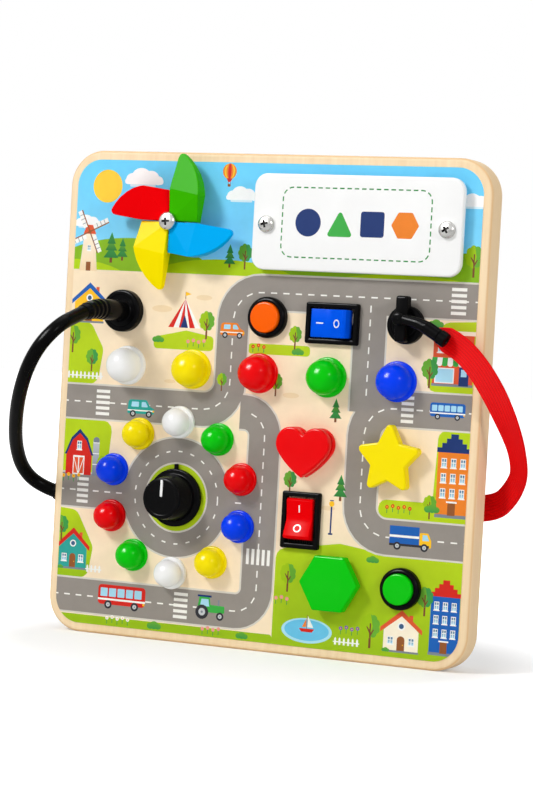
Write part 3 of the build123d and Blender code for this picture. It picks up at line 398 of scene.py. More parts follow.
def solder_mask(name):
    """Green circuit laminate with a faint copper pattern."""
    finish = Finish(name, IOR=1.5)
    traces = {"Vector": finish.stretch((220.0, 220.0, 220.0)), "Color1": (0.01, 0.16, 0.05, 1.0),
              "Color2": (0.012, 0.2, 0.06, 1.0), "Mortar": (0.03, 0.32, 0.1, 1.0), "Scale": 1.0,
              "Mortar Size": 0.03}
    finish.drive("Base Color", finish.add("ShaderNodeTexBrick", traces).outputs["Color"])
    finish.drive("Roughness", finish.span(finish.noise(300.0), 0.25, 0.4))
    return finish.material


def clear_resin(name):
    """Water-clear diode resin with a trace of haze."""
    finish = Finish(name, IOR=1.5, Transmission_Weight=0.7)
    haze = finish.noise(500.0)
    finish.drive("Base Color", finish.blend(haze, (0.85, 0.88, 0.9, 1.0), (0.97, 0.98, 1.0, 1.0)))
    finish.drive("Roughness", finish.span(haze, 0.05, 0.18))
    return finish.material


def cell_wrap(name):
    """A battery cell's dark printed wrap, without any label."""
    finish = Finish(name, Metallic=0.6)
    scuffs = finish.streaks((900.0, 120.0, 120.0), 3.0)
    finish.drive("Base Color", finish.blend(scuffs, (0.02, 0.022, 0.025, 1.0), (0.05, 0.052, 0.06, 1.0)))
    finish.drive("Roughness", finish.span(scuffs, 0.25, 0.45))
    return finish.material


PLASTICS = ("white", "yellow", "red", "green", "blue", "orange", "sky", "black")
SATIN_PLASTICS = {"green_sail": "lime_sail", "red_sail": "red_plastic", "yellow_sail": "yellow_plastic",
                  "blue_sail": "sky_plastic", "blue_rocker_key": "azure_key", "red_rocker_key": "red_plastic"}
PLASTIC_MIRROR = 0.1       # how strongly each kind of plastic mirrors
BLACK_MIRROR = 0.045
SATIN_MIRROR = 0.015
HOUSING_ROUGHNESS = 0.5
PAD_ROUGHNESS = 0.6
PAD_GREY = "b9b9b4"
COLOURED = {"birch_wood": sanded_birch, "cable_rubber": soft_rubber, "strap_webbing": woven_webbing}
UNCOLOURED = {"printed_town": varnished_print, "cell_wrap": cell_wrap, "circuit_laminate": solder_mask,
              "diode_resin": clear_resin}
# The nearly black steel of the screws' cross recesses is painted shade.
METAL_SHADES = {"steel_screw": 0.48, "steel_recess": 0.06, "contact_metal": 0.55}


def make_finishes():
    """Every material by the name of its slot in the record, or by the name of a piece's own finish."""
    colours = settings("colours")
    style = settings("finish")
    finishes = {}
    for slot in PLASTICS:
        key = slot + "_plastic"
        roughness, mirror = style.plastic_roughness, PLASTIC_MIRROR
        if slot == "black":
            roughness, mirror = style.black_roughness, BLACK_MIRROR
        finishes[key] = moulded_plastic(key, tuple(getattr(colours, key)), roughness, mirror)
    for key, source in SATIN_PLASTICS.items():
        colour = tuple(getattr(colours, source))
        finishes[key] = moulded_plastic(key, colour, style.sail_roughness, SATIN_MIRROR)
    housing = tuple(colours.housing_plastic)
    finishes["housing_plastic"] = moulded_plastic("housing_plastic", housing, HOUSING_ROUGHNESS)
    for key, recipe in COLOURED.items():
        finishes[key] = recipe(key, tuple(getattr(colours, key)))
    for key, recipe in UNCOLOURED.items():
        finishes[key] = recipe(key)
    for key, shade in METAL_SHADES.items():
        finishes[key] = nickel_plate(key, shade)
    finishes["pad_rubber"] = soft_rubber("pad_rubber", paint(PAD_GREY), PAD_ROUGHNESS)
    return finishes


FINISHES = {}


def finish_named(slot):
    """The material of a slot; all are made the first time that one is asked for."""
    if not FINISHES:
        FINISHES.update(make_finishes())
    return FINISHES[slot]


NODE_SLOTS = {part["node"]: part["material_slot"] for part in frame["record"]["subparts"]}


# ---------------- outlines, in millimetres
def circle(radius, steps=96):
    """A circle's points, counter-clockwise."""
    angles = [math.tau * i / steps for i in range(steps)]
    return [(radius * math.cos(a), radius * math.sin(a)) for a in angles]


def arc(centre, radius, start, end, steps):
    """Points along an arc between two angles in degrees."""
    angles = [math.radians(start + (end - start) * i / steps) for i in range(steps + 1)]
    return [(centre[0] + radius * math.cos(a), centre[1] + radius * math.sin(a)) for a in angles]


def rounded_box(width, height, radius, steps=6):
    """A rectangle with round corners, counter-clockwise, always with as many points."""
    x, y = width / 2 - radius, height / 2 - radius
    corners = [(x, -y, -90), (x, y, 0), (-x, y, 90), (-x, -y, 180)]
    return [p for cx, cy, a in corners for p in arc((cx, cy), radius, a, a + 90, steps)]


def softened(points, radii, steps=6):
    """A closed polygon with each corner rounded by its own radius, where that isn't 0."""
    result = []
    count = len(points)
    for i, (x, y) in enumerate(points):
        radius = radii[i] if isinstance(radii, (list, tuple)) else radii
        here = Vector((x, y))
        back = (Vector(points[i - 1]) - here).normalized()
        ahead = (Vector(points[(i + 1) % count]) - here).normalized()
        half = back.angle(ahead) / 2
        if radius <= 0 or half > math.radians(88):
            result.append((x, y))
            continue
        reach = radius / math.tan(half)
        centre = here + (back + ahead).normalized() * (radius / math.sin(half))
        first = here + back * reach - centre
        last = here + ahead * reach - centre
        sweep = first.angle_signed(last)
        start = math.atan2(first.y, first.x)
        for k in range(steps + 1):
            angle = start - sweep * k / steps
            result.append((centre.x + radius * math.cos(angle), centre.y + radius * math.sin(angle)))
    return result


def inset(points, distance):
    """A counter-clockwise outline moved inwards by a distance, corner by corner."""
    result = []
    count = len(points)
    for i, (x, y) in enumerate(points):
        before = (Vector((x, y)) - Vector(points[i - 1])).normalized()
        after = (Vector(points[(i + 1) % count]) - Vector((x, y))).normalized()
        first, second = Vector((-before.y, before.x)), Vector((-after.y, after.x))
        shift = (first + second) / max(0.25, 1.0 + first.dot(second)) * distance
        result.append((x + shift.x, y + shift.y))
    return result


def quarter(start, end, steps=5, bulge_first=True):
    """Profile points on a quarter turn from one (inset, height) to the next, without the first."""
    (a, b), (c, d) = start, end
    points = []
    for k in range(1, steps + 1):
        angle = math.pi / 2 * k / steps
        if bulge_first:      # leaves along the height
            points.append((a + (c - a) * (1 - math.cos(angle)), b + (d - b) * math.sin(angle)))
        else:                # leaves along the inset
            points.append((a + (c - a) * math.sin(angle), b + (d - b) * (1 - math.cos(angle))))
    return points


def shoulder(radius, start, end, steps=5):
    """Profile points that round off a turned form's rim, from one (inset, height) to the next."""
    return [(radius - a, b) for a, b in quarter(start, end, steps)]


# ---------------- meshes
def mesh_object(name, mesh):
    """A new object in the scene for a mesh."""
    piece = bpy.data.objects.new(name, mesh)
    bpy.context.scene.collection.objects.link(piece)
    return piece


def smooth(mesh, angle):
    """Smooth shading, with edges sharper than an angle left crisp."""
    mesh.shade_smooth()
    mesh.set_sharp_from_angle(angle=math.radians(angle))


def solid(name, bm, angle=32.0):
    """A bmesh as a smooth object in the scene."""
    mesh = bpy.data.meshes.new(name)
    bm.to_mesh(mesh)
    bm.free()
    smooth(mesh, angle)
    return mesh_object(name, mesh)


class Shell:
    """A mesh gathered from several closed forms, written in millimetres and placed by matrices."""

    def __init__(self):
        self.bm = bmesh.new()

    def rings(self, rings, matrix, cap_first=True, cap_last=True):
        """Joins rings of as many points each, with flat caps at the two ends."""
        loops = [[self.bm.verts.new(matrix @ (Vector(p) * MM)) for p in ring] for ring in rings]
        count = len(loops[0])
        for low, high in zip(loops, loops[1:]):
            for i in range(count):
                j = (i + 1) % count
                self.bm.faces.new((low[i], low[j], high[j], high[i]))
        if cap_first:
            self.bm.faces.new(list(reversed(loops[0])))
        if cap_last:
            self.bm.faces.new(loops[-1])
        return self

    def moulded(self, outline, profile, matrix):
        """A form whose outline is drawn in, step by step: profile is a list of (inset, height)."""
        draw = outline if callable(outline) else lambda distance: inset(outline, distance)
        rings = [[(x, y, height) for x, y in draw(distance)] for distance, height in profile]
        return self.rings(rings, matrix)

    def turned(self, profile, matrix, steps=96):
        """A form turned about its axis: profile is a list of (radius, height)."""
        rings = [[(x, y, height) for x, y in circle(max(radius, 0.02), steps)] for radius, height in profile]
        return self.rings(rings, matrix)

    def finish(self, name):
        """The gathered forms as one smooth object."""
        bmesh.ops.recalc_face_normals(self.bm, faces=self.bm.faces)
        return solid(name, self.bm)


def seat(piece, node, finish=None):
    """The piece takes a CAD node's place, on its body, in its slot's finish or in a finish of its own."""
    slot = NODE_SLOTS[node]
    piece.data.materials.clear()
    piece.data.materials.append(finish_named(finish or slot))
    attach(piece, frame["nodes"][node]["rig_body"])
    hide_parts(node)
    return piece


def fit_trim(piece, node, slot):
    """A small extra piece goes with a CAD node's body, in a finish of its own."""
    piece.data.materials.clear()
    piece.data.materials.append(finish_named(slot))
    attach(piece, frame["nodes"][node]["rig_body"])
    return piece


def crisp_bevel(bm, radius, angle, test):
    """Rounds the edges of a bmesh that pass a test and are sharper than an angle in degrees."""
    limit = math.radians(angle)
    edges = [e for e in bm.edges if e.is_manifold and e.calc_face_angle(0.0) > limit and test(e)]
    bmesh.ops.bevel(bm, geom=edges, offset=radius, segments=3, profile=0.5, affect="EDGES",
                    clamp_overlap=True)


# ---------------- board
class BUSYBOARD_OT_wood(bpy.types.Operator):
    """Gives the wooden board and every hidden or plain CAD piece its finish"""

    bl_idname = "busy_board.wood"
    bl_label = "Board and inner pieces"

    def execute(self, context):
        for node, slot in NODE_SLOTS.items():
            piece = frame["nodes"][node]
            piece.data.materials.clear()
            piece.data.materials.append(finish_named(slot))
            smooth(piece.data, 28.0)
        return {"FINISHED"}


# ---------------- printed pictures
INKS = {
    "sky": "66d2ff", "haze": "88daff", "cloud": "ffffff", "cloud_shade": "dcf0fb", "sun": "ffd23c",
    "hill": "b4d610", "far_hill": "88ba1e", "lawn": "b9d51a", "lawn_dark": "9ac018", "sand": "ffe9c8",
    "sand_dark": "f7dcb2", "road": "979089", "kerb": "dcd6cc", "line": "f8f6f0", "leaf": "a0c614",
    "leaf_dark": "6aae34", "fir": "3f9a48", "fir_dark": "2f7f3c", "trunk": "7d4c2c", "water": "6cc6ee",
    "water_light": "b0e4f8", "red": "d8281e", "brick": "e25a34", "yellow": "ffc526", "blue": "1f62b8",
    "navy": "1c3672", "teal": "2fa39a", "orange": "f08428", "cream": "fff3dc", "brown": "96592f",
    "glass": "a9dcf3", "glass_dark": "3d5f86", "tyre": "34343a", "hub": "c8ccd0", "grey": "7f8893",
    "pink": "f08fa0", "purple": "7c5ab4", "white": "fbfaf6", "green": "3fae49", "green_dark": "1f8a34",
}


class Picture:
    """A flat picture built from outlines in millimetres; what is added later lies on top."""

    def __init__(self, outline, ink):
        self.shapes = []
        self.add(outline, ink)

    def add(self, points, ink, low_ink=None):
        """One outline in one ink, or fading down to a second one."""
        area = sum(a[0] * b[1] - b[0] * a[1] for a, b in zip(points, points[1:] + points[:1]))
        ordered = points if area > 0 else points[::-1]
        heights = [p[1] for p in points]
        tones = paint(INKS[ink]), paint(INKS[low_ink or ink])
        self.shapes.append((ordered, *tones, min(heights), max(heights)))

    def box(self, x, y, width, height, ink, low_ink=None):
        """A rectangle by the middle of its lower edge."""
        half = width / 2
        self.add([(x - half, y), (x + half, y), (x + half, y + height), (x - half, y + height)], ink, low_ink)

    def disc(self, x, y, width, height, ink, low_ink=None, steps=20):
        """An ellipse by its middle and its two diameters."""
        angles = [math.tau * (i + 0.5) / steps for i in range(steps)]
        self.add([(x + width / 2 * math.cos(a), y + height / 2 * math.sin(a)) for a in angles], ink, low_ink)

    def soft(self, points, radius, ink, low_ink=None):
        """A polygon with round corners."""
        self.add(softened(points, radius, 3), ink, low_ink)

    def mesh(self, name, out, rim, ground=True):
        """One mesh of all outlines, each triangle in its topmost ink, with or without the first outline."""
        verts, faces = [], []
        for points, *_ in self.shapes:
            faces.append(list(range(len(verts), len(verts) + len(points))))
            verts += [Vector(p) for p in points]
        flat, _, cells, _, _, owners = delaunay_2d_cdt(verts, [], faces, 1, 1e-4, True)
        kept = [(cell, max(own)) for cell, own in zip(cells, owners) if 0 in own and (ground or max(own) > 0)]
        count = len(flat)
        front = [(p.x * MM, FACE - out * MM, p.y * MM) for p in flat]
        back = [(x, y + rim * MM, z) for x, y, z in front]
        sides = [side for cell, _ in kept for side in zip(cell, cell[1:] + cell[:1])]
        shared = set(sides)
        rims = [(a, b) for a, b in sides if (b, a) not in shared]
        polygons = [tuple(cell) for cell, _ in kept] + [(b, a, a + count, b + count) for a, b in rims]
        mesh = bpy.data.meshes.new(name)
        mesh.from_pydata(front + back, [], polygons)
        ink = mesh.color_attributes.new("ink", "FLOAT_COLOR", "CORNER")
        tones = [self.shapes[owner] for _, owner in kept] + [self.shapes[0]] * len(rims)
        for polygon, (_, high_ink, low_ink, low, high) in zip(mesh.polygons, tones):
            for corner in polygon.loop_indices:
                height = flat[mesh.loops[corner].vertex_index % count].y
                share_of_high = (height - low) / (high - low)
                tone = [b + (a - b) * share_of_high for a, b in zip(high_ink, low_ink)]
                ink.data[corner].color = (*tone, 1.0)
        mesh.update()
        loose = bmesh.new()
        loose.from_mesh(mesh)
        bmesh.ops.delete(loose, geom=[v for v in loose.verts if not v.link_faces], context="VERTS")
        loose.to_mesh(mesh)
        loose.free()
        return mesh_object(name, mesh)


class Motif:
    """A drawing on a picture, in shares of its own width and height from the middle of its foot."""

    def __init__(self, picture, x, y, width, height):
        self.picture = picture
        self.x, self.y = x, y
        self.width, self.height = width, height

    def at(self, a, b):
        """The picture's point at a share of the width and a share of the height."""
        return self.x + a * self.width, self.y + b * self.height

    def shape(self, shares, ink, low_ink=None, radius=0.0):
        """An outline, with corners rounded by a radius in millimetres."""
        self.picture.soft([self.at(a, b) for a, b in shares], radius, ink, low_ink)

    def taper(self, low_half, low, high_half, high, ink, low_ink=None, radius=0.0):
        """A level form with two straight sides, by its half widths at its foot and its top."""
        shares = [(-low_half, low), (low_half, low), (high_half, high), (-high_half, high)]
        self.shape(shares, ink, low_ink, radius)

    def box(self, a, b, wide, high, ink, low_ink=None):
        """A rectangle by the middle of its lower edge."""
        self.picture.box(*self.at(a, b), wide * self.width, high * self.height, ink, low_ink)

    def disc(self, a, b, wide, high, ink, steps=20):
        """An ellipse by its middle and its diameters, both as shares of the width."""
        self.picture.disc(*self.at(a, b), wide * self.width, high * self.width, ink, steps=steps)

    def line(self, start, end, thickness, ink):
        """A straight band of a thickness in millimetres."""
        self.picture.add(strip([Vector(self.at(*start)), Vector(self.at(*end))], thickness), ink)

    def window(self, a, b, wide, high):
        """A window with a frame, a cross bar and a sill."""
        pane = Motif(self.picture, *self.at(a, b), wide * self.width, high * self.height)
        pane.box(0, 0, 1, 1, "white")
        pane.box(0, 0.1, 0.76, 0.8, "glass_dark", "glass")
        pane.box(0, 0, 0.12, 1, "white")
        pane.box(0, 0.5, 1, 0.09, "white")
        pane.box(0, -0.1, 1.25, 0.12, "white")

    def wheel(self, a, b, size):
        """A wheel seen from the side, by its middle and its diameter's share of the height."""
        x, y = self.at(a, b)
        for part, ink, steps in ((1.0, "tyre", 16), (0.52, "hub", 12), (0.18, "grey", 8)):
            diameter = size * self.height * part
            self.picture.disc(x, y, diameter, diameter, ink, steps=steps)


def lane(points, radius=11.0):
    """A line with round corners, as vectors, for a road or its dashes to follow."""
    radii = [0.0] + [radius] * (len(points) - 2) + [0.0]
    return [Vector(p) for p in softened(points, radii, 8)]


def walk(line, distance):
    """The point at a distance along a line."""
    for a, b in zip(line, line[1:]):
        step = (b - a).length
        if distance <= step:
            return a.lerp(b, distance / step)
        distance -= step
    return line[-1]


def strip(line, width):
    """The outline of a band along a line."""
    left, right = [], []
    for i, point in enumerate(line):
        heading = (line[min(i + 1, len(line) - 1)] - line[max(i - 1, 0)]).normalized()
        side = Vector((-heading.y, heading.x)) * (width / 2)
        left.append(tuple(point + side))
        right.append(tuple(point - side))
    return right + list(reversed(left))


ROAD_WIDTH = 13.0
KERB_WIDTH = 0.7
DASH_WIDTH = 0.55
DASH_LENGTH = 2.6
ROUNDABOUT = (-34.5, 56.1)
DASH_CIRCLE = 18.0         # radius of the dashes in the roundabout


def roads(picture, lanes):
    """Roads with pale kerbs and a dashed line along their middle."""
    for line in lanes:
        picture.add(strip(line, ROAD_WIDTH + 2 * KERB_WIDTH), "kerb")
    for line in lanes:
        picture.add(strip(line, ROAD_WIDTH), "road")
    for line in lanes:
        total = sum((b - a).length for a, b in zip(line, line[1:]))
        distance = 3.0
        while distance < total - 4.0:
            dash = [walk(line, distance), walk(line, distance + DASH_LENGTH)]
            picture.add(strip(dash, DASH_WIDTH), "line")
            distance += 2 * DASH_LENGTH


def crossing(picture, x, y, across, along, upright=False):
    """A zebra crossing of five bars."""
    for i in range(5):
        shift = (i - 2) * across / 5
        if upright:
            picture.box(x + shift, y - along / 2, across / 9, along, "line")
        else:
            picture.box(x, y + shift - across / 18, along, across / 9, "line")


def tree(picture, x, y, height, leaf="leaf", shade="leaf_dark"):
    """A round tree with a forked trunk and a lobed crown."""
    form = Motif(picture, x, y, height, height)
    crown, lobes = 0.64, 9
    form.box(0, 0, 0.07, 0.5, "trunk")
    outline = []
    for i in range(lobes * 4):
        angle = math.tau * i / (lobes * 4)
        reach = 0.88 + 0.12 * abs(math.sin(lobes * angle / 2))
        outline.append((0.31 * reach * math.cos(angle), crown + 0.36 * reach * math.sin(angle)))
    form.shape(outline, leaf)
    shadow = [(a, b) for a, b in outline if a > -1e-9] + [(0.0744, crown)]
    shadow.sort(key=lambda p: math.atan2(p[1] - crown, p[0] - 0.124))
    form.shape(shadow, shade)
    for side, rise in ((-1, 0.5), (1, 0.42)):
        form.shape([(0, rise - 0.12), (side * 0.124, rise + 0.12), (side * 0.0992, rise + 0.13),
                    (-side * 0.05 / height, rise)], "trunk")
    form.box(0, 0.3, 0.045, 0.42, "trunk")


def dark_tree(picture, x, y, height):
    """A round tree with darker leaves."""
    tree(picture, x, y, height, "leaf_dark", "fir")


def fir(picture, x, y, height):
    """A fir of three tiers."""
    form = Motif(picture, x, y, height, height)
    form.box(0, 0, 0.1, 0.25, "trunk")
    for low, half, ink in ((0.16, 0.28, "fir"), (0.4, 0.22, "leaf_dark"), (0.62, 0.16, "fir")):
        form.shape([(-half, low), (half, low), (0, low + 0.38)], ink, "fir_dark")


def bush(picture, x, y, width):
    """A low bush of three round lobes."""
    for shift, size in ((-0.28, 0.5), (0.28, 0.46), (0.0, 0.62)):
        lobe = size * width
        picture.disc(x + shift * width, y + lobe * 0.4, lobe, lobe * 0.85, "leaf_dark", "fir")


def flowers(picture, x, y, count, ink):
    """A row of small flowers on stalks."""
    for i in range(count):
        px = x + i * 2.3
        py = y + 0.5 * (i % 2)
        picture.box(px, py, 0.3, 1.9, "fir")
        picture.disc(px, py + 2.3, 1.5, 1.5, ink, steps=8)
        picture.disc(px, py + 2.3, 0.6, 0.6, "yellow" if ink != "yellow" else "orange", steps=6)


def fence(picture, x, y, count):
    """A white picket fence."""
    picture.box(x + (count - 1) * 0.9, y + 0.9, count * 1.8, 0.45, "white")
    for i in range(count):
        picket = Motif(picture, x + i * 1.8, y, 0.8, 2.9)
        picket.shape([(-0.5, 0), (0.5, 0), (0.5, 2.3 / 2.9), (0, 1), (-0.5, 2.3 / 2.9)], "white")


def cloud(picture, x, y, width):
    """A cloud with a flat foot."""
    form = Motif(picture, x, y, width, width * 0.34)
    for shift, size in ((-0.3, 0.34), (-0.08, 0.5), (0.17, 0.42), (0.36, 0.26)):
        lobe = size * width
        picture.disc(x + shift * width, y + lobe * 0.36, lobe, lobe * 0.8, "cloud")
    form.taper(0.5, 0, 0.5, 0.42, "cloud", radius=form.height * 0.2)
    foot = [(-0.36, -0.16), (0.3, -0.16), (0.3, 0), (-0.36, 0)]
    form.shape(foot, "cloud_shade", radius=form.height * 0.07)


def cottage(picture, x, y, width, height, wall, roof):
    """A gabled cottage with a round attic window and an arched door."""
    form = Motif(picture, x, y, width, height)
    form.box(0.27, 0.66, 0.11, 0.32, "brick")
    form.box(0, 0, 1, 0.56, wall)
    form.shape([(-0.5, 0.56), (0.5, 0.56), (0, 1)], wall)
    form.shape([(-0.6, 0.5), (-0.6, 0.62), (0, 1.096), (0.6, 0.62), (0.6, 0.5), (0, 0.94)], roof)
    form.box(0, 0, 1.04, 0.05, "grey")
    form.disc(0, 0.68, 0.22, 0.22, "white")
    form.disc(0, 0.68, 0.14, 0.14, "glass_dark")
    form.box(0, 0.05, 0.22, 0.28, "brown")
    form.disc(0, 0.33, 0.22, 0.2, "brown")
    form.disc(0.06, 0.2, 0.035, 0.035, "yellow", 6)
    for side in (-0.3, 0.3):
        form.window(side, 0.2, 0.18, 0.2)
    bush(picture, x - width * 0.42, y, width * 0.22)


def barn(picture, x, y, width, height):
    """A red barn with a bent roof, a crossed door and a silo."""
    form = Motif(picture, x, y, width, height)
    form.box(0.66, 0, 0.24, 0.82, "hub", "grey")
    form.disc(0.66, 0.82, 0.24, 0.22, "grey")
    for level in (0.25, 0.5, 0.75):
        form.box(0.66, level, 0.24, 0.02, "white")
    form.shape([(-0.5, 0), (0.5, 0), (0.5, 0.5), (0.3, 0.82), (0, 1), (-0.3, 0.82), (-0.5, 0.5)], "red")
    form.shape([(-0.56, 0.46), (-0.32, 0.85), (0, 1.06), (0.32, 0.85), (0.56, 0.46),
                (0.48, 0.46), (0.27, 0.79), (0, 0.96), (-0.27, 0.79), (-0.48, 0.46)], "navy")
    form.box(0, 0, 0.44, 0.44, "white")
    for side in (-1, 1):
        form.box(side * 0.105, 0.03, 0.17, 0.37, "brick")
        form.line((side * 0.02, 0.04), (side * 0.19, 0.39), width * 0.025, "white")
    form.window(0, 0.58, 0.18, 0.2)


def windmill(picture, x, y, height):
    """A tapered mill with four lattice arms."""
    form = Motif(picture, x, y, height * 0.36, height)
    form.taper(0.5, 0, 0.3, 0.68, "cream", "sand_dark")
    form.taper(0.36, 0.66, 0.18, 0.82, "brick")
    form.box(0, 0, 0.26, 0.16, "brown")
    form.window(0, 0.36, 0.2, 0.1)
    hub = Vector((x, y + height * 0.7))
    for i in range(4):
        angle = math.radians(25 + 90 * i)
        out = Vector((math.cos(angle), math.sin(angle)))
        side = Vector((-out.y, out.x)) * height * 0.09
        tip, foot = hub + out * height * 0.42, hub + out * height * 0.1
        picture.add([tuple(p) for p in (foot, tip, tip + side, foot + side)], "white")
        for k in (0.25, 0.5, 0.75):
            start = foot.lerp(tip, k)
            picture.add(strip([start, start + side], 0.25), "grey")
        picture.add(strip([hub, tip], height * 0.022), "brown")
    picture.disc(hub.x, hub.y, height * 0.06, height * 0.06, "brown", steps=10)


def shop(picture, x, y, width, height, wall, stripe):
    """A corner shop with a striped awning and a parapet."""
    form = Motif(picture, x, y, width, height)
    form.box(0, 0, 1, 1, wall)
    form.box(0, 1, 1.06, 0.08, "cream")
    form.box(0, 0, 1.02, 0.05, "grey")
    form.box(-0.2, 0.06, 0.48, 0.3, "white")
    form.box(-0.2, 0.08, 0.43, 0.26, "glass", "water_light")
    form.box(0.28, 0.02, 0.24, 0.36, "navy")
    form.box(0.28, 0.2, 0.14, 0.14, "glass")
    stripes, wide = 8, 1.08
    for i in range(stripes):
        left, right = (wide * (k / stripes - 0.5) for k in (i, i + 1))
        ink = stripe if i % 2 == 0 else "white"
        form.shape([(left, 0.42), (right, 0.42), (right * 0.94, 0.56), (left * 0.94, 0.56)], ink)
        picture.disc(*form.at((left + right) / 2, 0.42), (right - left) * width, height * 0.07, ink, steps=8)
    for side in (-0.3, 0, 0.3):
        form.window(side, 0.66, 0.18, 0.2)


def tall_house(picture, x, y, width, height, wall, roof):
    """A narrow town house with a stepped gable and three rows of windows."""
    form = Motif(picture, x, y, width, height)
    body, sill = 0.78, 0.24
    form.box(0, 0, 1, body, wall)
    for i, step in enumerate((1.08, 0.78, 0.5, 0.24)):
        form.box(0, body + i * 0.055, step, 0.057, roof)
    form.box(0, 0, 1.04, 0.04, "grey")
    form.box(0, 0.03, 0.24, 0.15, "brown")
    form.box(0, 0.18, 0.34, 0.02, "white")
    rise = (body - sill) / 3
    for row in range(3):
        for side in (-0.3, 0, 0.3):
            form.window(side, sill + row * rise, 0.17, rise * 0.62)


def tent(picture, x, y, width, ink):
    """A striped tent with a pennant."""
    form = Motif(picture, x, y, width, width * 0.8)
    for i in range(6):
        form.shape([(i / 6 - 0.5, 0), ((i + 1) / 6 - 0.5, 0), (0, 1)], ink if i % 2 == 0 else "white")
    form.shape([(-0.12, 0), (0.12, 0), (0, 0.45)], "navy")
    form.line((0, 1), (0, 1.25), 0.3, "brown")
    form.shape([(0, 1.25), (0, 1.1), (0.18, 1.17)], "yellow")


def balloon(picture, x, y, height, inks):
    """A hot-air balloon with a basket."""
    wide = height * 0.66
    form = Motif(picture, x, y, wide, height)
    for i, ink in enumerate(inks):
        picture.disc(*form.at(0, 0.66), wide * (1.0 - i / len(inks)), height * 0.68, ink)
    form.taper(0.08, 0.2, 0.22, 0.36, inks[-1])
    for side in (-1, 1):
        form.line((side * 0.08, 0.2), (side * 0.07, 0.1), 0.22, "brown")
    form.taper(0.1, 0, 0.11, 0.12, "brown", radius=0.3)


def bus(picture, x, y, width, ink):
    """A town bus."""
    form = Motif(picture, x, y, width, width * 0.44)
    form.taper(0.5, 0.16, 0.5, 1, ink, radius=form.height * 0.16)
    form.box(0, 0.34, 1, 0.08, "white")
    for i in range(5):
        left = -0.45 + i * 0.18
        form.shape([(left, 0.5), (left + 0.15, 0.5), (left + 0.15, 0.86), (left, 0.86)], "glass", radius=0.3)
    form.box(0.47, 0.24, 0.04, 0.1, "yellow")
    for side in (-0.28, 0.28):
        form.wheel(side, 0.16, 0.36)


def truck(picture, x, y, width, cab, load):
    """A box truck."""
    form = Motif(picture, x, y, width, width * 0.52)
    form.box(-0.14, 0.24, 0.7, 0.76, load)
    form.box(-0.14, 0.52, 0.7, 0.1, "white")
    form.shape([(0.22, 0.16), (0.5, 0.16), (0.5, 0.46), (0.42, 0.78), (0.22, 0.78)], cab, radius=0.5)
    form.shape([(0.29, 0.46), (0.45, 0.46), (0.39, 0.7), (0.29, 0.7)], "glass")
    form.box(-0.02, 0.16, 0.94, 0.1, "tyre")
    for side in (-0.3, 0.34):
        form.wheel(side, 0.16, 0.34)


def tractor(picture, x, y, width, ink):
    """A tractor with a large rear wheel."""
    form = Motif(picture, x, y, width, width * 0.72)
    form.shape([(-0.1, 0.3), (0.5, 0.3), (0.5, 0.6), (-0.1, 0.62)], ink, radius=0.5)
    form.shape([(-0.4, 0.4), (0.06, 0.4), (0, 0.92), (-0.34, 0.92)], ink)
    form.shape([(-0.31, 0.54), (0, 0.54), (-0.04, 0.84), (-0.27, 0.84)], "glass")
    form.box(-0.17, 0.92, 0.46, 0.08, "navy")
    form.box(0.3, 0.6, 0.05, 0.24, "grey")
    form.wheel(-0.24, 0.3, 0.6)
    form.wheel(0.36, 0.17, 0.34)


def van(picture, x, y, width, ink):
    """A small van with a rounded nose."""
    form = Motif(picture, x, y, width, width * 0.56)
    body = [(-0.5, 0.18), (0.5, 0.18), (0.5, 0.5), (0.34, 0.62), (0.2, 1), (-0.46, 1)]
    form.shape(body, ink, radius=[0.6, 0.9, 0.9, 0.5, 1.0, 1.2])
    form.shape([(0.02, 0.58), (0.27, 0.58), (0.16, 0.88), (0.02, 0.88)], "glass", radius=0.3)
    form.shape([(-0.36, 0.58), (-0.08, 0.58), (-0.08, 0.88), (-0.34, 0.88)], "glass", radius=0.3)
    form.box(0, 0.34, 0.98, 0.07, "white")
    picture.disc(*form.at(0.46, 0.36), 0.9, 0.9, "yellow", steps=8)
    for side in (-0.29, 0.3):
        form.wheel(side, 0.18, 0.4)


def sail_boat(picture, x, y, width, ink):
    """A small sailing boat."""
    form = Motif(picture, x, y, width, width)
    gap = 0.3 / width
    form.taper(0.34, 0, 0.5, 0.2, ink)
    form.line((0, 0.2), (0, 1), 0.25, "brown")
    form.shape([(gap, 0.28), (0.42, 0.28), (gap, 0.95)], "white")
    form.shape([(-gap, 0.28), (-0.3, 0.28), (-gap, 0.8)], "orange")


def street_lamp(picture, x, y, height):
    """A street lamp with a round globe."""
    form = Motif(picture, x, y, height, height)
    form.box(0, 0, 0.05, 0.86, "navy")
    form.box(0, 0, 0.14, 0.05, "navy")
    form.disc(0, 0.9, 0.17, 0.17, "yellow", 12)
    form.box(0, 0.98, 0.12, 0.03, "navy")


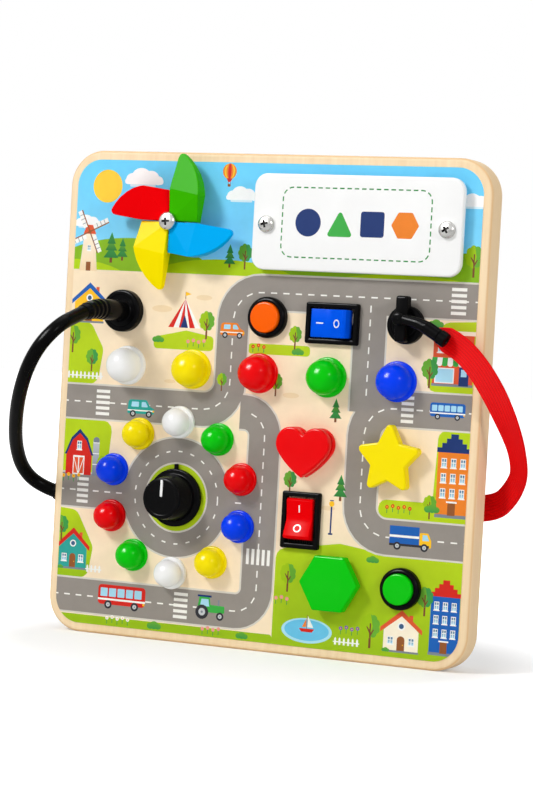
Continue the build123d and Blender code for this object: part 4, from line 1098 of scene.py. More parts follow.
def draw_ground(town):
    """Sky, hills, sand and lawns."""
    town.box(0, 143, 180, 50, "sky", "haze")
    town.disc(-72, 176, 13, 13, "sun", steps=28)
    hills = [("far_hill", -60, 140, 74, 32), ("far_hill", 20, 138, 90, 26), ("hill", -20, 134, 80, 30),
             ("far_hill", 84, 140, 60, 30), ("hill", 55, 134, 90, 24), ("hill", -86, 134, 60, 26)]
    for ink, x, y, width, height in hills:
        town.disc(x, y, width, height, ink, steps=48)
    town.box(0, 100, 180, 43, "sand")
    town.soft([(-90, 57), (-66, 60), (-64, 84), (-90, 84)], 4, "lawn")
    town.soft([(50.5, 55), (90, 55), (90, 89), (73, 89), (72, 62), (50.5, 62)], 3, "lawn")
    town.soft([(9.5, 0), (90, 0), (90, 41), (58, 41), (36, 44), (9.5, 40)], 4, "lawn", "lawn_dark")
    town.soft([(-90, 0), (9.5, 0), (9.5, 7), (-90, 7)], 1, "lawn_dark")
    town.soft([(-90, 21.5), (-72, 21.5), (-70, 34), (-78, 48), (-90, 49)], 4, "lawn", "lawn_dark")
    town.soft([(-90, 98), (-72, 98), (-70, 112), (-76, 122), (-90, 124)], 4, "lawn")
    town.soft([(66, 103), (90, 103), (90, 130), (72, 129)], 4, "lawn")
    town.soft([(-48, 113.5), (-22, 113.5), (-22, 119), (-34, 121), (-48, 118)], 1.6, "lawn")
    town.soft([(-7, 113.5), (19, 113.5), (19, 117.5), (-7, 117.5)], 1.4, "lawn")
    dunes = [(-45, 129, 9), (-27, 134, 7), (12, 98.5, 7), (76, 98, 6), (14, 66, 6), (-80, 52, 5), (30, 57, 6),
             (-52, 93.8, 5), (34, 106, 4), (-40, 101, 5)]
    for x, y, width in dunes:
        town.disc(x, y, width, width * 0.3, "sand_dark", steps=14)


def draw_roads(town):
    """The roads with their crossings, and the island in the roundabout."""
    steps = 64
    turning = [Vector(p) for p in circle(DASH_CIRCLE, steps)]
    centre = Vector(ROUNDABOUT)
    town.disc(*centre, 47.4, 47.4, "kerb", steps=steps)
    roads(town, [
        lane([(-90, 91), (-14, 91), (-14, 137), (90, 137)]),
        lane([(-90, 14.5), (2, 14.5), (2, 91), (-9, 91)], 9.0),
        lane([(90, 96), (43, 96), (43, 48), (90, 48)]),
        lane([(-90, 56), (-56, 56)]), lane([(-12, 56), (0, 56)]), lane([(43, 137), (43, 94)]),
    ])
    town.disc(*centre, 46.0, 46.0, "road", steps=steps)
    for i in range(0, steps, 3):
        town.add(strip([centre + turning[i], centre + turning[(i + 1) % steps]], DASH_WIDTH), "line")
    town.disc(*centre, 27.4, 27.4, "kerb", steps=48)
    town.disc(*centre, 26.0, 26.0, "lawn", steps=48)
    crossing(town, -69, 91, 11, 6)
    crossing(town, 2, 36, 11, 6, True)
    crossing(town, 78, 137, 11, 6)
    crossing(town, 60, 96, 11, 5)
    crossing(town, -30, 14.5, 11, 6)
    crossing(town, -76, 56, 11, 5)


def pond(picture, x, y):
    """An oval pond with a pale bank and a sailing boat."""
    picture.disc(x, y, 21, 9.5, "water_light", steps=36)
    picture.disc(x, y + 0.2, 18.5, 8, "water", steps=36)
    sail_boat(picture, x, y - 0.5, 6.5, "red")


def draw_town(town):
    """Buildings, trees, vehicles and small things, from the far ones to the near ones."""
    scenery = [
        (cloud, -56, 177, 17), (cloud, -80, 160, 12), (cloud, -13, 172, 14), (cloud, 82, 172, 13),
        (balloon, -19, 177, 9, ("orange", "yellow", "orange", "red")), (fir, -64, 147, 9),
        (fir, -69, 146, 12), (windmill, -79, 142.5, 22), (tree, -56, 146, 10), (dark_tree, -10.5, 145.5, 10),
        (fir, -17, 146, 9), (tree, 83, 146, 12), (cottage, -77.5, 122, 13, 14.5, "yellow", "blue"),
        (tree, -84, 110, 11), (fence, -85, 100, 9), (dark_tree, -75, 103, 9), (tent, -35, 122, 14, "red"),
        (bush, -46, 116, 5), (flowers, -33, 114.5, 4, "pink"), (tree, -25.3, 118, 11), (bush, 14, 114, 5),
        (flowers, -5, 114, 3, "red"), (tree, 12.5, 116, 9), (shop, 77, 105.5, 16, 19, "brick", "green"),
        (dark_tree, 68, 104.5, 11), (bush, 69.5, 127, 6), (tall_house, 79.5, 57, 12.5, 31, "orange", "navy"),
        (tree, 71, 56, 9), (barn, -78.5, 62, 11.5, 17), (tree, -68, 62, 8), (flowers, -85, 59, 4, "yellow"),
        (cottage, -79, 24.5, 12.5, 15, "teal", "red"), (dark_tree, -84.5, 35.5, 10), (fence, -72, 24, 4),
        (dark_tree, 13.7, 61, 9), (street_lamp, 31.5, 47, 13), (fir, 34.8, 60, 10), (fir, 31, 89.5, 9),
        (tree, 5.5, 97.8, 9), (tree, -17.5, 98.5, 7), (pond, 24, 10), (flowers, 10.5, 19, 3, "pink"),
        (tall_house, 79.5, 6, 11.5, 28, "blue", "red"), (cottage, 62.5, 5.5, 14, 14.5, "cream", "brick"),
        (tree, 50, 6, 13), (dark_tree, 71.3, 20, 11), (fence, 36, 6, 6), (flowers, 38, 10, 4, "purple"),
        (tree, 15, 24, 11), (bush, 49.5, 38, 5), (bush, 72, 58.5, 6), (flowers, 54, 57, 5, "red"),
        (truck, 64, 43.8, 17, "yellow", "blue"), (bus, -56, 10.5, 21, "red"),
        (tractor, -17.5, 10.2, 13, "green"), (van, -14.2, 119, 10.5, "orange"), (van, -52, 86.3, 12, "teal"),
        (bus, 76, 93.2, 14, "blue"), (flowers, -62, 4.4, 5, "white"), (flowers, -20, 4.2, 4, "pink"),
        (bush, -41, 4.3, 6), (bush, -3, 4.3, 5),
    ]
    for draw, *details in scenery:
        draw(town, *details)


PRINT_CORNER = 10.4


class BUSYBOARD_OT_picture(bpy.types.Operator):
    """Prints the town picture on the board's face"""

    bl_idname = "busy_board.picture"
    bl_label = "Printed town"

    def execute(self, context):
        low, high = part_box("printed_sheet")
        width, height = (high.x - low.x) / MM, (high.z - low.z) / MM
        centre = (high.z + low.z) / 2 / MM
        town = Picture([(x, y + centre) for x, y in rounded_box(width, height, PRINT_CORNER, 12)], "sand")
        draw_ground(town)
        draw_roads(town)
        draw_town(town)
        seat(town.mesh("printed_town_sheet", SHEET, (high.y - low.y) / MM), "printed_sheet")
        return {"FINISHED"}


# ---------------- lamps
LAMP_SIZES = {             # the flange's radius and height, and the dome's radius
    "large_lamp_": (7.65, 1.95, 6.8), "small_lamps_": (6.3, 1.75, 5.4),
}
AXIS = 0.02                # radius at which a turned form closes


def dome_profile(flange, flange_top, dome, top):
    """The (radius, height) profile of a lamp: a flange, then a round top with a lip over a narrower neck."""
    soft = 0.45 * (flange_top - SHEET)
    centre = top - dome
    neck = dome - 0.45
    points = [(flange, SHEET), (flange, flange_top - soft)]
    points += shoulder(flange, (0, flange_top - soft), (soft, flange_top))
    points += [(neck + 0.25, flange_top), (neck + 0.05, flange_top + 0.08), (neck, flange_top + 0.3)]
    points += [(neck, centre - 0.5), (dome - 0.12, centre - 0.5), (dome, centre - 0.38), (dome, centre - 0.1)]
    points += [(dome - 0.06, centre + 0.02), (dome - 0.1, centre + 0.1)]
    points += arc((0.0, centre + 0.1), dome - 0.1, 4, 88, 21)
    return points + [(AXIS, top)]


def lamp_centres(node):
    """The middle of each lamp of a node, from the boxes of its loose parts."""
    bm = bmesh.new()
    bm.from_mesh(frame["nodes"][node].data)
    waiting = set(bm.verts)
    parts = []
    for seed in bm.verts:
        group, reached = [], [seed]
        while reached:
            vert = reached.pop()
            if vert in waiting:
                waiting.discard(vert)
                group.append(vert)
                reached += [e.other_vert(vert) for e in vert.link_edges]
        if group:
            xs, zs = [v.co.x / MM for v in group], [v.co.z / MM for v in group]
            parts.append(((min(xs) + max(xs)) / 2, (min(zs) + max(zs)) / 2, (max(xs) - min(xs)) / 2))
    bm.free()
    widest = max(reach for _, _, reach in parts)
    centres = []
    for x, y, reach in parts:
        if reach > 0.9 * widest and all(math.hypot(x - u, y - v) > 1.0 for u, v in centres):
            centres.append((x, y))
    return centres


class BUSYBOARD_OT_lamps(bpy.types.Operator):
    """Makes the round lamp lenses"""

    bl_idname = "busy_board.lamps"
    bl_label = "Lamps"

    def execute(self, context):
        for start, (flange, flange_top, dome) in LAMP_SIZES.items():
            for node in [n for n in NODE_SLOTS if n.startswith(start)]:
                shell = Shell()
                for x, y in lamp_centres(node):
                    shell.turned(dome_profile(flange, flange_top, dome, front(node)), place(x, y))
                seat(shell.finish(node + "_lens"), node)
        return {"FINISHED"}


# ---------------- knob
KNOB_HEIGHT = 12.2         # from the skirt's foot to the rim of the top
KNOB_SKIRT = 1.7           # height of the skirt
KNOB_TOP = 7.98            # radius of the grip at its top
KNOB_NUB = (1.4, 3.0)      # width and length of the nub on the skirt
KNOB_POINTER = (6.4, 3.9)  # length of the white line, and its middle's distance from the axis


class BUSYBOARD_OT_knob(bpy.types.Operator):
    """Makes the turning knob with its pointer"""

    bl_idname = "busy_board.knob"
    bl_label = "Knob"

    def execute(self, context):
        trim = settings("trim")
        x, _ = middle("control_knob")
        low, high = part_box("control_knob")
        skirt = half_width("control_knob")
        y = low.z / MM + skirt
        top = front("control_knob")
        foot = top - KNOB_HEIGHT
        rim = foot + KNOB_SKIRT
        profile = [(skirt, foot), (skirt, rim - 0.6)] + shoulder(skirt, (0, rim - 0.6), (0.6, rim))
        profile += [(9.5, rim), (9.2, rim + 0.12), (9.08, rim + 0.5), (8.5, rim + 5.0), (KNOB_TOP, top - 0.7)]
        profile += shoulder(KNOB_TOP, (0, top - 0.7), (0.6, top - 0.12))
        profile += [(7.1, top), (6.6, top), (6.45, top - 0.12), (6.2, top - 0.15), (AXIS, top - 0.15)]
        shell = Shell().turned(profile, place(x, y))
        nub = [(0, foot), (0, rim - 0.7), (0.2, rim - 0.45)]
        shell.moulded(rounded_box(*KNOB_NUB, 0.35), nub, place(x, high.z / MM - KNOB_NUB[1] / 2))
        seat(shell.finish("control_knob_grip"), "control_knob")
        long_side, reach = KNOB_POINTER
        line = rounded_box(trim.pointer_width / MM, long_side, 0.3)
        relief = trim.mark_relief / MM
        profile = [(0, 0), (0, 0.14 + relief), (0.1, 0.2 + relief)]
        mark = Shell().moulded(line, profile, place(x, y + reach, top - 0.17))
        fit_trim(mark.finish("control_knob_pointer"), "control_knob", "white_plastic")
        return {"FINISHED"}


# ---------------- push buttons
BEZEL_WIDTH = 2.05
CAP_DEPTH = 2.6            # how far a button's cap is seen to go down in its bezel
WELL_GAP = 0.22            # between the cap and the bezel


class BUSYBOARD_OT_push_buttons(bpy.types.Operator):
    """Makes the two round push buttons"""

    bl_idname = "busy_board.push_buttons"
    bl_label = "Push buttons"

    def execute(self, context):
        for colour in ("orange", "green"):
            case, cap = colour + "_button_case", colour + "_button_cap"
            spot = place(*middle(cap))
            key, rim, top = half_width(cap), front(case), front(cap)
            reach, well = key + BEZEL_WIDTH, key + WELL_GAP
            profile = [(reach, SHEET), (reach, rim - 1.5)] + shoulder(reach, (0, rim - 1.5), (1.35, rim), 8)
            profile += [(key + 0.55, rim), (key + 0.32, rim - 0.1), (well, rim - 0.35), (well, SHEET + 0.4)]
            profile += [(AXIS, SHEET + 0.4)]
            seat(Shell().turned(profile, spot).finish(case + "_bezel"), case)
            crown = [(key, top - CAP_DEPTH), (key, top - 0.75)]
            crown += shoulder(key, (0, top - 0.75), (0.75, top), 7) + [(AXIS, top)]
            seat(Shell().turned(crown, spot).finish(cap + "_crown"), cap)
        return {"FINISHED"}


# ---------------- rockers
ROCKERS = {"blue_rocker": 0.0, "red_rocker": -90.0}
ROCKER_FRAME = (21.6, 15.7)  # long and short side
ROCKER_CORNER = 0.8
ROCKER_PIVOT = -1.4        # height of the pivot above the wooden face
ROCKER_REST = 8.0          # degrees that the key leans at rest
KEY_HALF = 7.7
KEY_CREST = KEY_HALF - 0.9  # where the key's ends are highest
KEY_WIDTH = 10.7
KEY_END = 6.0              # height of the key's ends above the pivot
KEY_WAIST = 4.1
MARK_PLACE = 3.7           # the marks' distance from the waist
MARK_BAR = 2.8
MARK_RING = 1.6            # outer radius


def key_surface(x):
    """Height of the key's top above the pivot."""
    return KEY_WAIST + (KEY_END - KEY_WAIST) * abs(x) / KEY_CREST


def frame_outline(distance):
    """A rocker frame's outline, drawn in by a distance."""
    wide, high = ROCKER_FRAME
    radius = max(0.25, ROCKER_CORNER - distance)
    return rounded_box(wide - 2 * distance, high - 2 * distance, radius)


class BUSYBOARD_OT_rockers(bpy.types.Operator):
    """Makes the two rocker switches with their marks"""

    bl_idname = "busy_board.rockers"
    bl_label = "Rocker switches"

    def execute(self, context):
        for name, spin in ROCKERS.items():
            node = name + "_frame"
            x, y = middle(node)
            rim = front(node)
            profile = [(0, SHEET), (0, rim - 0.75)] + quarter((0, rim - 0.75), (0.65, rim))
            profile += [(1.6, rim), (1.82, rim - 0.12), (1.93, rim - 0.4), (1.95, -0.6)]
            seat(Shell().moulded(frame_outline, profile, place(x, y, 0, spin)).finish(node + "_bezel"), node)
            lean = place(x, y, ROCKER_PIVOT, spin) @ Matrix.Rotation(math.radians(-ROCKER_REST), 4, "Y")
            self.key(name, lean)
            self.marks(name + "_key", lean)
        return {"FINISHED"}

    def key(self, name, lean):
        """The key: a waisted side view, as wide as the key, with soft rims."""
        edge = settings("trim").moulded_edge / MM
        side = [(-KEY_HALF, 0.6), (KEY_HALF, 0.6), (KEY_HALF, KEY_END - 0.95), (KEY_CREST, KEY_END),
                (0.0, KEY_WAIST), (-KEY_CREST, KEY_END), (-KEY_HALF, KEY_END - 0.95)]
        outline = softened(side, [0, 0, 0.5, 0.35, 7.0, 0.35, 0.5], 6)
        half = KEY_WIDTH / 2
        layers = [(-half, edge), (edge * 0.3 - half, edge * 0.3), (edge - half, 0.0)]
        layers += [(-across, drawn_in) for across, drawn_in in reversed(layers)]
        rings = [[(a, across, b) for a, b in inset(outline, drawn_in)] for across, drawn_in in layers]
        seat(Shell().rings(rings, lean).finish(name + "_key_cap"), name + "_key", name + "_key")

    def marks(self, node, lean):
        """The bar and the ring printed on the key's two slopes."""
        trim = settings("trim")
        relief, width = trim.mark_relief / MM, trim.mark_width / MM
        slope = math.atan2(KEY_END - KEY_WAIST, KEY_CREST)
        marks = Shell()
        bar, ring = (
            lean @ Matrix.Translation((way * MARK_PLACE * MM, 0, key_surface(MARK_PLACE) * MM))
            @ Matrix.Rotation(-way * slope, 4, "Y") for way in (-1, 1)
        )
        marks.moulded(rounded_box(MARK_BAR, width, width * 0.3), [(0, -0.1), (0, relief)], bar)
        inner = MARK_RING - width
        profile = [(MARK_RING, -0.1), (MARK_RING, relief), (inner, relief), (inner, -0.1)]
        loops = [[(a, b, height) for a, b in circle(radius, 48)] for radius, height in profile]
        marks.rings(loops + [loops[0]], ring, False, False)
        fit_trim(marks.finish(node + "_marks"), node, "white_plastic")


# ---------------- shape buttons
HEART_NARROWING = 0.94     # against its CAD width
HEART_LEVEL = 0.76         # its middle lies this share of its half width below its top
HEART_CAP_HEIGHT = 3.2
STAR_RADIUS = 14.4
STAR_WAIST = 0.52
STAR_TIP_ROUND = 1.5
STAR_STRETCH = (0.98, 1.03)  # across and upwards
STAR_SHIFT = -0.5
STAR_DROP = 13.4           # its middle lies this far below the CAD star's top
HEXAGON_RADIUS = 11.9
FREE_CAP_HEIGHT = 4.4      # the star and the hexagon end above their guides' collars when pressed
SHAPE_POST_RADIUS = 3.0
SHAPE_POST_END = -4.0      # the caps' posts end behind the wooden face, in their guides


def arc_through(start, middle_point, end, steps):
    """Points along the circle through three points, without the first."""
    (ax, ay), (bx, by), (cx, cy) = start, middle_point, end
    twice = 2 * (ax * (by - cy) + bx * (cy - ay) + cx * (ay - by))
    a2, b2, c2 = ax * ax + ay * ay, bx * bx + by * by, cx * cx + cy * cy
    centre = Vector(((a2 * (by - cy) + b2 * (cy - ay) + c2 * (ay - by)) / twice,
                     (a2 * (cx - bx) + b2 * (ax - cx) + c2 * (bx - ax)) / twice))
    first, last = Vector(start) - centre, Vector(end) - centre
    sweep = first.angle_signed(last)
    angle = math.atan2(first.y, first.x)
    return [(centre.x + first.length * math.cos(angle - sweep * k / steps),
             centre.y + first.length * math.sin(angle - sweep * k / steps)) for k in range(1, steps + 1)]


def heart_points(width):
    """A heart, counter-clockwise from its notch, with its lobes' middles a little above the origin."""
    half = width / 2
    lobe, lobe_y = half * 0.53, half * 0.23
    reach, tip = half - lobe, (0.0, -half * 0.86)
    start = math.degrees(math.atan2(0.72, -math.sqrt(1 - 0.72 ** 2)))
    right = arc((reach, lobe_y), lobe, start, -38, 22)
    side, foot = right[-1], (half * 0.05, tip[1] + half * 0.035)
    right += arc_through(side, (side[0] * 0.56, (side[1] + tip[1]) / 2 - half * 0.035), foot, 8)
    notch = (0.0, right[0][1] - right[0][0] * 0.9)
    left = [(-x, y) for x, y in right]
    return [notch] + left + [tip] + list(reversed(right))


def star_points(radius, waist, tip_round):
    """A five-pointed star, counter-clockwise from its top tip."""
    points, radii = [], []
    for i in range(10):
        reach = radius if i % 2 == 0 else radius * waist
        angle = math.pi / 2 + i * math.pi / 5
        points.append((reach * math.cos(angle), reach * math.sin(angle)))
        radii.append(tip_round if i % 2 == 0 else 0.5)
    return softened(points, radii, 6)


def button_block(outline, low, top, soft, matrix):
    """A solid button of one outline, with a soft top edge and a slight one below."""
    profile = [(0.25, low), (0, low + 0.25), (0, top - soft)] + quarter((0, top - soft), (soft, top), 6)
    return Shell().moulded(outline, profile, matrix)


def shape_cap(node, outline, height, soft, spot, guide):
    """A button's cap, on a round post that ends in its guide."""
    top = front(node)
    cap = button_block(outline, top - height, top, soft, spot)
    post = [(SHAPE_POST_RADIUS, top - height + 0.2), (SHAPE_POST_RADIUS, SHAPE_POST_END)]
    seat(cap.turned(post, guide, 48).finish(node + "_top"), node)


class BUSYBOARD_OT_shape_buttons(bpy.types.Operator):
    """Makes the heart, star and hexagon buttons"""

    bl_idname = "busy_board.shape_buttons"
    bl_label = "Shape buttons"

    def execute(self, context):
        node = "heart_button_base"
        half = half_width(node)
        spot = place(middle(node)[0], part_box(node)[1].z / MM - half * HEART_LEVEL)
        heart = [(x * HEART_NARROWING, y) for x, y in heart_points(2 * half)]
        base = button_block(heart, SHEET, front(node), 0.5, spot)
        seat(base.finish(node + "_tier"), node)
        shape_cap("heart_button_cap", heart, HEART_CAP_HEIGHT, 0.9, spot, spot)

        wide, high = STAR_STRETCH
        star = star_points(STAR_RADIUS, STAR_WAIST, STAR_TIP_ROUND)
        star = [(x * wide + STAR_SHIFT, y * high) for x, y in star]
        node = "star_button_cap"
        spot = place(middle(node)[0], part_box(node)[1].z / MM - STAR_DROP)
        shape_cap(node, star, FREE_CAP_HEIGHT, 0.8, spot, place(*middle("star_button_guide")))

        node = "hexagon_button_cap"
        spot = place(*middle(node))
        shape_cap(node, softened(circle(HEXAGON_RADIUS, 6), 0.8, 5), FREE_CAP_HEIGHT, 0.8, spot, spot)
        return {"FINISHED"}


# ---------------- screws
SCREW_HEIGHT = 2.3
SCREW_EDGE = 0.45          # height of the head's upright edge
SCREW_ROUNDNESS = 0.7      # a lower value makes the crown flatter
RECESS_TURN = 12.0         # degrees that the cross is turned in each head
PLATE_SCREW_TURN = 20.0    # degrees that the plate's right screw is turned further
PINWHEEL_SCREW_TURN = -8.0
PINWHEEL_HEAD = 1.09       # the pinwheel's screw head against the plate's ones


def recess_cutter(name, places, radius):
    """The crosses that are cut from the heads: two crossed slots each, narrower at their foot."""
    trim = settings("trim")
    wide, deep = trim.recess_width / MM, trim.recess_depth / MM
    cutter = Shell()
    for matrix in places:
        for spin in (RECESS_TURN, RECESS_TURN + 90):
            rings = []
            for level, grow in ((SCREW_HEIGHT - deep, 0.45), (SCREW_HEIGHT + 0.5, 1.0)):
                x, y = radius * 0.56 * grow, wide / 2 * (0.6 + 0.4 * grow)
                rings.append([(x, -y, level), (x, y, level), (-x, y, level), (-x, -y, level)])
            cutter.rings(rings, matrix @ Matrix.Rotation(math.radians(spin), 4, "Z"))
    return cutter.finish(name)


def screw_heads(name, node, places, radius):
    """Domed heads with a cross recess, at places given as matrices."""
    rise = SCREW_HEIGHT - SCREW_EDGE
    shell = Shell()
    for matrix in places:
        dome = [(radius - 0.15, 0.0), (radius, 0.15), (radius, SCREW_EDGE)]
        for i in range(1, 12):
            angle = math.pi / 2 * i / 12
            dome.append((radius * math.cos(angle) ** SCREW_ROUNDNESS, SCREW_EDGE + rise * math.sin(angle)))
        shell.turned(dome + [(AXIS, SCREW_HEIGHT)], matrix, 64)
    head = shell.finish(name)
    tool = recess_cutter(name + "_cutter", places, radius)
    cut = head.modifiers.new("recess", "BOOLEAN")
    cut.object = tool
    cut.operation = "DIFFERENCE"
    cut.solver = "EXACT"
    cut.use_self = True
    graph = bpy.context.evaluated_depsgraph_get()
    mesh = bpy.data.meshes.new_from_object(head.evaluated_get(graph))
    head.modifiers.clear()
    head.data = mesh
    bpy.data.objects.remove(tool)
    smooth(mesh, 35.0)
    seat(head, node)
    # The faces inside each cross recess take the nearly black steel: painted shade in the recess.
    mesh.materials.append(finish_named("steel_recess"))
    for polygon in mesh.polygons:
        spot = min((m.inverted() @ polygon.center / MM for m in places), key=lambda p: p.length)
        reach = min(1.0, math.hypot(spot.x, spot.y) / radius)
        crown = SCREW_EDGE + rise * math.sqrt(1.0 - reach ** (2 / SCREW_ROUNDNESS))
        polygon.material_index = 1 if spot.z < crown - 0.12 and reach < 0.6 and spot.z > 0.1 else 0


class BUSYBOARD_OT_screws(bpy.types.Operator):
    """Makes the cross-head screws that show"""

    bl_idname = "busy_board.screws"
    bl_label = "Screws"

    def execute(self, context):
        low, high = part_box("cover_plate_screws")
        y = (low.z + high.z) / 2 / MM
        radius = (high.z - low.z) / 2 / MM
        base = front("cover_plate_screws") - SCREW_HEIGHT
        ends = [place(low.x / MM + radius, y, base), place(high.x / MM - radius, y, base, PLATE_SCREW_TURN)]
        screw_heads("cover_plate_screw_heads", "cover_plate_screws", ends, radius)
        base = front("pinwheel_screw") - SCREW_HEIGHT
        centre = place(*middle("pinwheel_screw"), base, PINWHEEL_SCREW_TURN)
        screw_heads("pinwheel_screw_head", "pinwheel_screw", [centre], radius * PINWHEEL_HEAD)
        return {"FINISHED"}


# ---------------- pinwheel
PINWHEEL_REST = -1.0       # degrees that the pinwheel is turned at rest
SAIL_TURNS = {"green": 0.0, "red": 90.0, "yellow": 180.0, "blue": 270.0}
SAIL_UNDER = 5.85          # height of the sails' flat rear above the wooden face
SAIL_RIM = 0.32
SAIL_FOLDS = {"root": (0.2, 0.2, 9.2), "fold": (0.2, 12.6, 10.9), "peak": (13.2, 10.6, 12.15),
              "heel": (12.0, 0.2, 8.9), "tip": (2.6, 26.3, 7.6)}
SAIL_BOW = [(13.0, 12.4), (12.2, 15.6), (10.7, 18.9), (8.6, 22.0), (6.2, 24.5), (4.4, 25.9)]
SAIL_NOSE = [(3.5, 26.4), (2.6, 26.3), (1.9, 25.6), (1.55, 24.4)]


def level_on(a, b, c, x, y):
    """Height of the plane through three points at one place."""
    normal = (Vector(b) - Vector(a)).cross(Vector(c) - Vector(a))
    return a[2] - (normal.x * (x - a[0]) + normal.y * (y - a[1])) / normal.z


def sail(name, node, matrix, finish):
    """One folded sail: three facets that meet at its peak, a bowed outer edge and soft rims."""
    root, fold, peak, heel, tip = (SAIL_FOLDS[k] for k in ("root", "fold", "peak", "heel", "tip"))
    bm = bmesh.new()
    edge = [(x, y, level_on(fold, peak, tip, x, y)) for x, y in SAIL_BOW + SAIL_NOSE]
    outer = [bm.verts.new(p) for p in [peak] + edge + [fold]]
    core, end = bm.verts.new(root), bm.verts.new(heel)
    bm.faces.new(outer)
    bm.faces.new((core, outer[0], outer[-1]))
    bm.faces.new((core, end, outer[0]))
    rim = [core, end] + outer
    under = [bm.verts.new((v.co.x, v.co.y, SAIL_UNDER)) for v in rim]
    for i in range(len(rim)):
        j = (i + 1) % len(rim)
        bm.faces.new((rim[j], rim[i], under[i], under[j]))
    bm.faces.new(list(reversed(under)))
    bmesh.ops.recalc_face_normals(bm, faces=bm.faces)
    tops = set(rim)
    crisp_bevel(bm, SAIL_RIM, 40.0, lambda e: e.verts[0] in tops and e.verts[1] in tops)
    bmesh.ops.transform(bm, matrix=matrix @ Matrix.Scale(MM, 4), verts=bm.verts)
    seat(solid(name, bm, 7.0), node, finish)


class BUSYBOARD_OT_pinwheel(bpy.types.Operator):
    """Makes the four folded sails"""

    bl_idname = "busy_board.pinwheel"
    bl_label = "Pinwheel"

    def execute(self, context):
        x, y = middle("pinwheel_hub")
        for colour, spin in SAIL_TURNS.items():
            node = "pinwheel_sail_" + colour
            sail(node + "_folded", node, place(x, y, 0, spin + PINWHEEL_REST), colour + "_sail")
        return {"FINISHED"}


# ---------------- cover plate
PLATE_THICKNESS = 2.9
PLATE_CORNER = 5.2
PLATE_POST = (3.4, 3.3)    # the posts' radius, and their axes' distance from the screws' outer edges
PLATE_MARGIN = 2.0         # between the plate's edge and the print's ground
BORDER_SHARE = (0.71, 0.72)  # of the plate's width and height
BORDER_CORNER = 4.2
DASH_PITCH = 3.0


class BUSYBOARD_OT_cover_plate(bpy.types.Operator):
    """Makes the white cover plate with its printed border and plain shapes"""

    bl_idname = "busy_board.cover_plate"
    bl_label = "Cover plate"

    def execute(self, context):
        low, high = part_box("cover_plate")
        x, y = middle("cover_plate")
        width, height = (high.x - low.x) / MM, (high.z - low.z) / MM
        top = front("cover_plate")
        foot = top - PLATE_THICKNESS

        def plate(distance):
            return rounded_box(width - 2 * distance, height - 2 * distance, PLATE_CORNER - distance, 12)

        profile = [(0.5, foot)] + quarter((0.5, foot), (0, foot + 0.5), 4, False) + [(0, top - 0.8)]
        profile += quarter((0, top - 0.8), (0.8, top), 6)
        shell = Shell().moulded(plate, profile, place(x, y))
        screws_low, screws_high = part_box("cover_plate_screws")
        level = middle("cover_plate_screws")[1]
        radius, reach = PLATE_POST
        for post in (screws_low.x / MM + reach, screws_high.x / MM - reach):
            shell.turned([(radius, SHEET), (radius, foot + 0.3)], place(post, level), 48)
        seat(shell.finish("cover_plate_shell"), "cover_plate")
        card = Picture([(px + x, py + y) for px, py in plate(PLATE_MARGIN)], "white")
        wide, high = BORDER_SHARE
        border = rounded_box(wide * width, high * height, BORDER_CORNER, 8)
        self.border(card, [(px + x, py + y) for px, py in border])
        self.shapes(card, x, y)
        fit_trim(card.mesh("cover_plate_print", top + 0.03, 0.05, False), "cover_plate", "printed_town")
        return {"FINISHED"}

    def border(self, card, outline):
        """A dashed line along an outline."""
        line = [Vector(p) for p in outline + outline[:1]]
        total = sum((b - a).length for a, b in zip(line, line[1:]))
        count = round(total / DASH_PITCH)
        for i in range(count):
            dash = [walk(line, (i + k * 0.155) * total / count) for k in range(5)]
            card.add(strip(dash, 0.5), "green_dark")

    def shapes(self, card, x, y):
        """A circle, a triangle, a square and a hexagon in a row."""
        card.disc(x - 19.5, y, 10.5, 10.5, "navy", steps=40)
        card.soft([(x - 11.9, y - 5), (x - 0.9, y - 5), (x - 6.4, y + 5.2)], 0.9, "green")
        square = ((2.0, -4.8), (11.6, -4.8), (11.6, 4.8), (2.0, 4.8))
        card.soft([(x + px, y + py) for px, py in square], 1.0, "navy")
        card.soft([(x + 20.0 + px, y + py) for px, py in circle(5.6, 6)], 0.8, "orange")


# ---------------- sockets and plugs
BARREL_RADIUS = 4.05
BARREL_LENGTH = 15.5
RELIEF_RIBS = 4
RIB_PITCH = 2.7
RIB_RADIUS = 3.9           # of the first rib; each next one is 0.2 mm smaller
RELIEF_SAG = (0.3, 1.9)    # how far the strain relief's end hangs to the left and down
PLUG_KEY = (4.6, 17.2)     # the key bar's width and height
PLUG_KEY_SHIFT = 2.1       # height of the key bar's and the boss's middle above the socket's
PLUG_KEY_DEPTH = 4.3
BOSS_RADIUS = 2.5
BOSS_HEIGHT = 7.5          # of the boss on the key bar, above the socket
ARM_HEIGHT = 8.4           # of the arm's axis above the printed face
ARM_BENDS = (              # the arm's start, bend and end, from the socket's middle
    (0.9, 2.1), (9.4, 0.3), (19.2, -5.3),
)
FERRULE_LENGTH = 9.6
FERRULE = (                # distance along the ferrule, and its radius there
    (0.05, 2.35), (0.25, 2.6), (5.9, 2.6), (6.1, 2.4), (6.25, 2.6), (6.5, 2.85), (9.2, 2.85), (9.5, 2.65),
    (9.6, 2.3), (9.6, 1.3), (9.2, 1.1),
)


